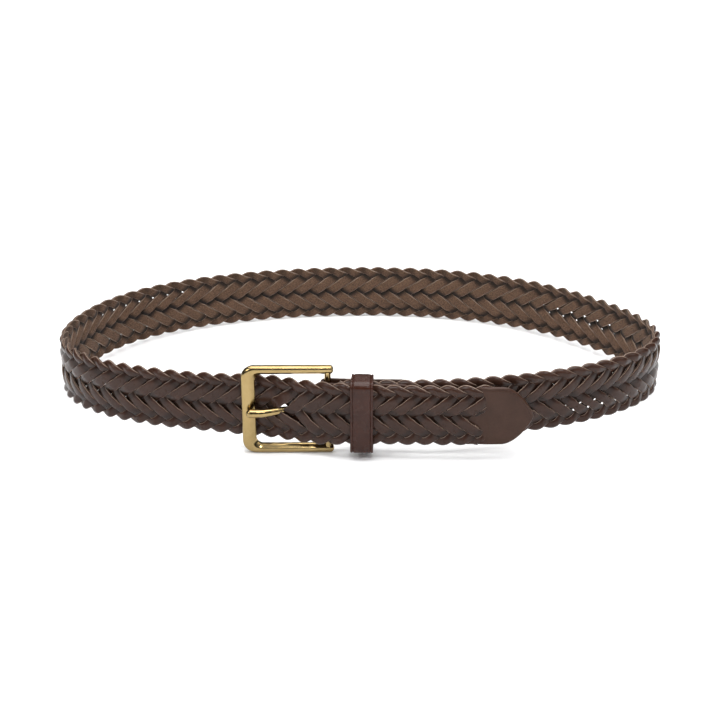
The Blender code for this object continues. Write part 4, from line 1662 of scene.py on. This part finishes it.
@dataclass
class Keeper:
    """The glossy leather loop that holds the free end down."""

    plan: BeltPlan
    finishes: Finishes
    thickness: float = 0.0020
    play: float = 0.0021
    drop: float = 0.0011
    corner: float = 0.0012
    corner_steps: int = 8
    straight_step: float = 0.002
    under_rim: float = 0.0003
    crown: float = 0.00012
    groove_inset: float = 0.0015
    groove_depth: float = 0.00042
    groove_width: float = 0.0003
    width_swing: float = 0.012
    width_wave: float = 0.03
    width_seed: int = 5
    profile: tuple[tuple[float, float], ...] = (
        # distance in from the side edge, distance down from the outer face
        (0.0, 0.00050),
        (0.00007, 0.00026),
        (0.0002, 0.0001),
        (0.0005, 0.0),
        (0.0009, 0.0),
        (0.0012, 0.0),
        (0.00135, 0.0),
        (0.0015, 0.0),
        (0.00165, 0.0),
        (0.0018, 0.0),
        (0.0022, 0.0),
        (0.0030, 0.0),
        (0.0045, 0.0),
    )

    def build(self) -> list[bpy.types.Object]:
        """Makes the loop.

        Returns:
            The loop alone.
        """
        line, normal = self.path()
        across, level = self.section()
        middle = self.plan.keeper_distance + self.plan.keeper_width / 2
        wave = 1 + self.width_swing * waves(line[:, 1], self.width_wave, self.width_seed)
        along = middle + across[None, :] * wave[:, None]
        depth = line[:, 0][:, None] + normal[:, 0][:, None] * level[None, :]
        height = line[:, 1][:, None] + normal[:, 1][:, None] * level[None, :]
        height = height + self.plan.half_belt - self.drop
        rings = self.plan.place(along, depth, height)
        loop = Loft("keeper_band", rings, [self.finishes.keeper], looped=True).build()
        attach(loop, "root")
        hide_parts("keeper_loop")
        return [loop]

    def section(self) -> tuple[np.ndarray, np.ndarray]:
        """Gives the band's section: its creased outer face and its plain underside.

        Returns:
            Distances across the band, and heights over its inner face.
        """
        half = self.plan.keeper_width / 2
        inset, down = np.array(self.profile).T
        groove = self.groove_depth * np.exp(-((inset - self.groove_inset) / self.groove_width) ** 2)
        level = self.thickness - down - groove
        level = level + self.crown * np.clip(inset / half, 0.0, 1.0)
        rim = self.under_rim
        under = np.array([(half, rim), (half - rim, 0.0), (0.0, 0.0), (rim - half, 0.0), (-half, rim)])
        across = np.concatenate([inset - half, [0.0], (half - inset)[::-1], under[:, 0]])
        level = np.concatenate([level, [self.thickness + self.crown], level[::-1], under[:, 1]])
        return across, level

    def path(self) -> tuple[np.ndarray, np.ndarray]:
        """Traces the loop's inner face.

        Returns:
            Its depths and heights round the loop, and the directions outward from it.
        """
        plan = self.plan
        low = -plan.chape_outside - plan.gap
        high = plan.layer_offset + plan.half_thickness + plan.gap
        half = plan.half_belt + self.play
        radius = self.corner
        points, normals = [], []
        corners = ((high, half, 0), (low, half, 90), (low, -half, 180), (high, -half, 270))
        for depth, height, start in corners:
            centre = np.array([depth - math.copysign(radius, depth), height - math.copysign(radius, height)])
            for step in range(self.corner_steps + 1):
                turn = math.radians(start + 90 * step / self.corner_steps)
                way = np.array([math.cos(turn), math.sin(turn)])
                points.append(centre + radius * way)
                normals.append(way)
        return self.fill_straights(np.array(points), np.array(normals))

    def fill_straights(self, points: np.ndarray, normals: np.ndarray) -> tuple[np.ndarray, np.ndarray]:
        """Adds points to the straight sides.

        Args:
            points: The corners' points.
            normals: The directions outward at them.

        Returns:
            All the points and their directions.
        """
        line, ways = [], []
        count = len(points)
        for place in range(count):
            here, ahead = points[place], points[(place + 1) % count]
            steps = max(1, int(np.linalg.norm(ahead - here) / self.straight_step))
            for step in range(steps):
                share = step / steps
                line.append(here + (ahead - here) * share)
                way = normals[place] + (normals[(place + 1) % count] - normals[place]) * share
                ways.append(way / np.linalg.norm(way))
        return np.array(line), np.array(ways)


@dataclass
class Buckle:
    """The brass frame with its bar, and the prong."""

    plan: BeltPlan
    finishes: Finishes
    # the frame, with its height along the strap's width and its reach from the bar
    height: float = 0.0548
    reach: float = 0.0495
    thickness: float = 0.0046
    rail: float = 0.0052
    side_bar: float = 0.008
    heel: float = 0.0034
    corner: float = 0.0075
    end_round: float = 0.0022
    end_steps: int = 6
    end_turn: float = 6.3
    end_fullness: float = 0.8
    rail_steps: int = 15
    corner_steps: int = 15
    side_steps: int = 8
    sharp_angle: float = 28.0
    # the bar and the prong
    bar_radius: float = 0.0019
    bar_steps: int = 9
    prong_radius: float = 0.0025
    prong_waist: float = 0.0018
    prong_inset: float = 0.0028
    eye_wall: float = 0.0014
    eye_height: float = 0.0042
    eye_inner_round: float = 0.0003
    eye_outer_round: float = 0.0005
    eye_steps: int = 40
    prong_steps: int = 48
    prong_easing: int = 9
    tip_steps: int = 9
    tip_drop: float = 0.0002
    tip_flat: float = 0.06
    section: tuple[tuple[float, float], ...] = (
        # share from the inner edge to the outer one, share of half the thickness
        (0.0, -0.62),
        (0.03, -0.84),
        (0.12, -1.0),
        (0.88, -1.0),
        (0.97, -0.84),
        (1.0, -0.62),
        (1.0, 0.05),
        (0.985, 0.36),
        (0.94, 0.62),
        (0.87, 0.82),
        (0.78, 0.94),
        (0.66, 0.995),
        (0.52, 1.0),
        (0.40, 0.97),
        (0.36, 0.93),
        (0.31, 0.85),
        (0.06, 0.22),
        (0.015, 0.08),
        (0.0, -0.06),
    )
    prong_line: tuple[tuple[float, float, float], ...] = (
        # share of its length, share of the climb to the side bar's face, share of the full radius
        (0.04, 0.00, 0.0),
        (0.15, 0.00, 0.0),
        (0.28, 0.01, 0.0),
        (0.40, 0.02, 0.1),
        (0.48, 0.07, 0.2),
        (0.55, 0.17, 0.4),
        (0.65, 0.52, 0.7),
        (0.74, 0.86, 0.9),
        (0.82, 1.00, 1.0),
        (0.88, 1.03, 1.0),
        (0.94, 1.02, 1.0),
    )

    def __post_init__(self) -> None:
        """Finds the buckle's own frame: +X from the bar to the side bar, +Z outward."""
        plan = self.plan
        side_middle = self.reach - self.side_bar / 2
        seat = plan.half_thickness + plan.gap + self.thickness / 2
        lift = seat * side_middle / (self.reach - self.side_bar) + plan.gap
        none = np.zeros(1)
        bar = plan.place(none, none, none + plan.half_belt)[0]
        side = plan.place(none + plan.girth - side_middle, none + lift, none)[0]
        self.turn = math.atan2(side[1] - bar[1], side[0] - bar[0])
        self.origin = bar
        self.axes = np.array([
            (math.cos(self.turn), math.sin(self.turn), 0.0),
            (0.0, 0.0, -1.0),
            (-math.sin(self.turn), math.cos(self.turn), 0.0),
        ])

    def to_world(self, points: np.ndarray) -> np.ndarray:
        """Takes points from the buckle's frame to the scene's."""
        return self.origin + points @ self.axes

    def build(self) -> list[bpy.types.Object]:
        """Makes the frame, the bar and the prong.

        Returns:
            The frame, the bar, the prong's shank and its eye.
        """
        rings = self.to_world(self.frame_rings())
        frame_body = Loft("brass_frame", rings, [self.finishes.brass], sharp=self.sharp_angle)
        pieces = [(frame_body.build(), "buckle_frame"), (self.build_bar(), "buckle_frame")]
        pieces += [(self.build_shank(), "buckle_prong"), (self.build_eye(), "buckle_prong")]
        for piece, node in pieces:
            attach(piece, "root")
            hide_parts(node)
        return [piece for piece, _ in pieces]

    def edge_lines(self) -> tuple[np.ndarray, np.ndarray]:
        """Gives matching points on the frame's edges, from one rail's end to the other's.

        Returns:
            The outer edge's points and the inner edge's.
        """
        half, radius = self.height / 2, self.corner
        inner_half = half - self.rail
        inner_side = self.reach - self.side_bar
        small = radius - (self.rail + self.side_bar) / 4
        outer, inner = [], []
        for share in np.linspace(0.0, 1.0, self.rail_steps + 1)[:-1]:
            outer.append((-self.heel + share * (self.reach - radius + self.heel), half))
            inner.append((-self.heel + share * (inner_side - small + self.heel), inner_half))
        for turn in np.radians(np.linspace(90, 0, self.corner_steps)):
            way = np.array([math.cos(turn), math.sin(turn)])
            outer.append(np.array([self.reach - radius, half - radius]) + radius * way)
            inner.append(np.array([inner_side - small, inner_half - small]) + small * way)
        for share in np.linspace(0.0, 1.0, self.side_steps + 1)[1:]:
            outer.append((self.reach, (half - radius) * (1 - share)))
            inner.append((inner_side, (inner_half - small) * (1 - share)))
        outer, inner = np.array(outer), np.array(inner)
        mirror = np.array([1.0, -1.0])
        return np.vstack([outer, outer[-2::-1] * mirror]), np.vstack([inner, inner[-2::-1] * mirror])

    def frame_rings(self) -> np.ndarray:
        """Gives the frame's sections, rounded off at the rails' ends.

        Returns:
            The sections' points, in the buckle's frame.
        """
        outer, inner = self.edge_lines()
        across, level = np.array(self.section).T
        level = level * self.thickness / 2
        flat = inner[:, None, :] + (outer - inner)[:, None, :] * across[None, :, None]
        level = np.broadcast_to(level[None, :, None], (*flat.shape[:2], 1))
        rings = np.concatenate([flat, level], axis=2)
        caps = [self.end_cap(end) for end in (rings[0], rings[-1])]
        rings[[0, -1], :, 0] += self.end_round
        return np.concatenate([caps[0][::-1], rings, caps[1]])

    def end_cap(self, end: np.ndarray) -> np.ndarray:
        """Rounds off a rail's end.

        Args:
            end: The rail's last section.

        Returns:
            The smaller sections beyond it.
        """
        middle = end.mean(axis=0)
        sections = []
        for step in range(1, self.end_steps + 1):
            turn = math.pi / 2 * step / self.end_turn
            shrunk = middle + (end - middle) * math.cos(turn) ** self.end_fullness
            sections.append(shrunk - np.array([self.end_round * (math.sin(turn) - 1), 0.0, 0.0]))
        return np.array(sections)

    @staticmethod
    def round_rings(line: np.ndarray, radius: np.ndarray, side: np.ndarray, around: int = 24) -> np.ndarray:
        """Gives round sections along a line.

        Args:
            line: The middle line's points.
            radius: The radius at each point.
            side: A direction that stays square to the line.
            around: The number of points in a section.

        Returns:
            The sections.
        """
        run = np.gradient(line, axis=0)
        run /= np.linalg.norm(run, axis=1)[:, None]
        up = np.cross(run, side)
        turn = np.arange(around) * 2 * math.pi / around
        ring = np.cos(turn)[None, :, None] * side + np.sin(turn)[None, :, None] * up[:, None, :]
        return line[:, None, :] + radius[:, None, None] * ring

    def build_bar(self) -> bpy.types.Object:
        """Makes the round bar between the rails.

        Returns:
            The bar.
        """
        half = (self.height - self.rail) / 2
        line = np.zeros((self.bar_steps, 3))
        line[:, 1] = np.linspace(-half, half, self.bar_steps)
        radius = np.full(self.bar_steps, self.bar_radius)
        rings = self.round_rings(line, radius, np.array([1.0, 0.0, 0.0]))
        return Loft("brass_bar", self.to_world(rings), [self.finishes.brass]).build()

    def build_shank(self) -> bpy.types.Object:
        """Makes the prong's shank, which rests its bulb on the side bar.

        Returns:
            The shank.
        """
        length = self.reach - self.prong_inset
        climb = self.thickness / 2 + self.plan.gap + self.prong_radius
        share, rise, full = np.array(self.prong_line).T
        fine = np.linspace(share[0], share[-1], self.prong_steps)
        rise, full = self.eased(np.interp(fine, share, rise)), self.eased(np.interp(fine, share, full))
        radius = self.prong_waist + (self.prong_radius - self.prong_waist) * full
        line = np.stack([fine * length, np.zeros_like(fine), rise * climb], axis=1)
        turn = np.linspace(0.0, math.pi / 2, self.tip_steps + 1)[1:]
        tip_run = length * (1 - share[-1])
        tip = line[-1] + np.sin(turn)[:, None] * np.array([tip_run, 0.0, -self.tip_drop])
        line = np.vstack([line, tip])
        radius = np.append(radius, radius[-1] * np.maximum(np.cos(turn), self.tip_flat))
        rings = self.round_rings(line, radius, np.array([0.0, 1.0, 0.0]))
        return Loft("brass_prong", self.to_world(rings), [self.finishes.brass]).build()

    def eased(self, values: np.ndarray) -> np.ndarray:
        """Smooths a row of values and keeps its ends.

        Args:
            values: The values.

        Returns:
            As many smoothed values.
        """
        weight = np.hanning(self.prong_easing)
        padded = np.pad(values, self.prong_easing // 2, mode="edge")
        return np.convolve(padded, weight / weight.sum(), mode="valid")

    def build_eye(self) -> bpy.types.Object:
        """Makes the prong's eye round the bar.

        Returns:
            The eye.
        """
        inner = self.bar_radius + self.plan.gap
        outer = inner + self.eye_wall
        half = self.eye_height / 2
        near, far = self.eye_inner_round, self.eye_outer_round
        upper = np.array([
            (outer, half - far), (outer - far, half), (inner + near, half), (inner, half - near),
        ])
        radius, height = np.vstack([upper[::-1] * (1, -1), upper]).T
        turn = np.arange(self.eye_steps)[:, None] * 2 * math.pi / self.eye_steps
        level = np.broadcast_to(height, (self.eye_steps, len(height)))
        rings = np.stack([np.cos(turn) * radius, level, np.sin(turn) * radius], axis=2)
        return Loft("brass_prong_eye", self.to_world(rings), [self.finishes.brass], looped=True).build()


@dataclass(frozen=True)
class Softbox:
    """A soft light of the studio."""

    name: str
    place: Place
    aim: Place
    width: float
    height: float
    power: float

    def hang(self) -> None:
        """Adds the light to the scene."""
        data = bpy.data.lights.new(self.name, "AREA")
        data.shape = "RECTANGLE"
        data.size = self.width
        data.size_y = self.height
        data.energy = self.power
        light = bpy.data.objects.new(self.name, data)
        light.location = self.place
        way = Vector(self.aim) - Vector(self.place)
        light.rotation_euler = way.to_track_quat("-Z", "Y").to_euler()
        bpy.context.scene.collection.objects.link(light)


@dataclass
class Set:
    """The floor, the lights and the camera."""

    floor_size: float = 12.0
    floor_drop: float = 0.0001
    camera_place: Place = (-0.00036, -0.8177, 0.3870)
    elevation: float = 24.53
    lens: float = 70.0
    sensor_width: float = 36.0
    sight: float = 30.0
    backdrop: Colour = (0.85, 0.85, 0.86)
    horizon: Colour = (0.025, 0.025, 0.026)
    zenith: Colour = (0.26, 0.265, 0.28)
    horizon_height: float = 0.22
    zenith_height: float = 0.62
    softboxes: tuple[Softbox, ...] = (
        Softbox("overhead", (0.0, -0.15, 1.5), (0.0, 0.0, 0.0), width=1.5, height=0.8, power=25.0),
        Softbox("rear_floor", (0.0, 1.6, 1.7), (0.0, 1.3, 0.0), width=3.0, height=1.6, power=52.0),
        Softbox("loop_highlight", (0.15, -0.95, 1.15), (0.0, 0.0, 0.03), width=0.34, height=0.10, power=4.4),
        Softbox("front_left", (-1.2, -0.9, 1.0), (0.0, 0.0, 0.03), width=0.5, height=0.5, power=8.0),
        Softbox("front_right", (1.2, -0.8, 0.9), (0.0, 0.0, 0.03), width=0.5, height=0.6, power=4.0),
    )

    def build(self) -> None:
        """Makes the set."""
        self.build_floor()
        self.build_lights()
        self.build_camera()

    def build_floor(self) -> None:
        """Lays the pale floor."""
        half = self.floor_size / 2
        mesh = bpy.data.meshes.new("floor")
        corners = [(-half, -half, 0.0), (half, -half, 0.0), (half, half, 0.0), (-half, half, 0.0)]
        mesh.from_pydata(corners, [], [(0, 1, 2, 3)])
        mesh.materials.append(PaleFloor().make())
        floor = bpy.data.objects.new("floor", mesh)
        floor.location.z = -self.floor_drop
        bpy.context.scene.collection.objects.link(floor)

    def build_lights(self) -> None:
        """Hangs the soft lights before a pale backdrop."""
        view = bpy.context.scene.view_settings
        view.view_transform = "Standard"
        world = bpy.data.worlds.new("studio")
        bpy.context.scene.world = world
        world.use_nodes = True
        nodes = Nodes(world.node_tree)
        way = nodes.add("ShaderNodeSeparateXYZ", {0: nodes.add("ShaderNodeTexCoord").outputs["Generated"]})
        high = nodes.remap(way.outputs["Z"], self.horizon_height, self.zenith_height)
        background = world.node_tree.nodes["Background"]
        seen = nodes.add("ShaderNodeLightPath").outputs["Is Camera Ray"]
        sky = nodes.blend(seen, nodes.blend(high, self.horizon, self.zenith), self.backdrop)
        nodes.tree.links.new(sky, background.inputs["Color"])
        background.inputs["Strength"].default_value = 1.0
        for softbox in self.softboxes:
            softbox.hang()

    def build_camera(self) -> None:
        """Sets up the camera at the photograph's angle."""
        data = bpy.data.cameras.new("camera")
        data.lens = self.lens
        data.sensor_width = self.sensor_width
        data.clip_end = self.sight
        camera = bpy.data.objects.new("camera", data)
        camera.location = self.camera_place
        camera.rotation_euler = (math.radians(90.0 - self.elevation), 0.0, 0.0)
        bpy.context.scene.collection.objects.link(camera)
        bpy.context.scene.camera = camera


def main() -> None:
    """Dresses the belt, reports each of its pieces and sets the scene."""
    logging.basicConfig(level=logging.INFO, format="%(message)s")
    finishes = Finishes.make_all()
    plan = BeltPlan()
    for part in (Braid, EndTab, Chape, Keeper, Buckle):
        for piece in part(plan, finishes).build():
            LOG.info("%s: %s, %d faces", part.__name__, piece.name, len(piece.data.polygons))
    Set().build()


if __name__ == "__main__":
    main()
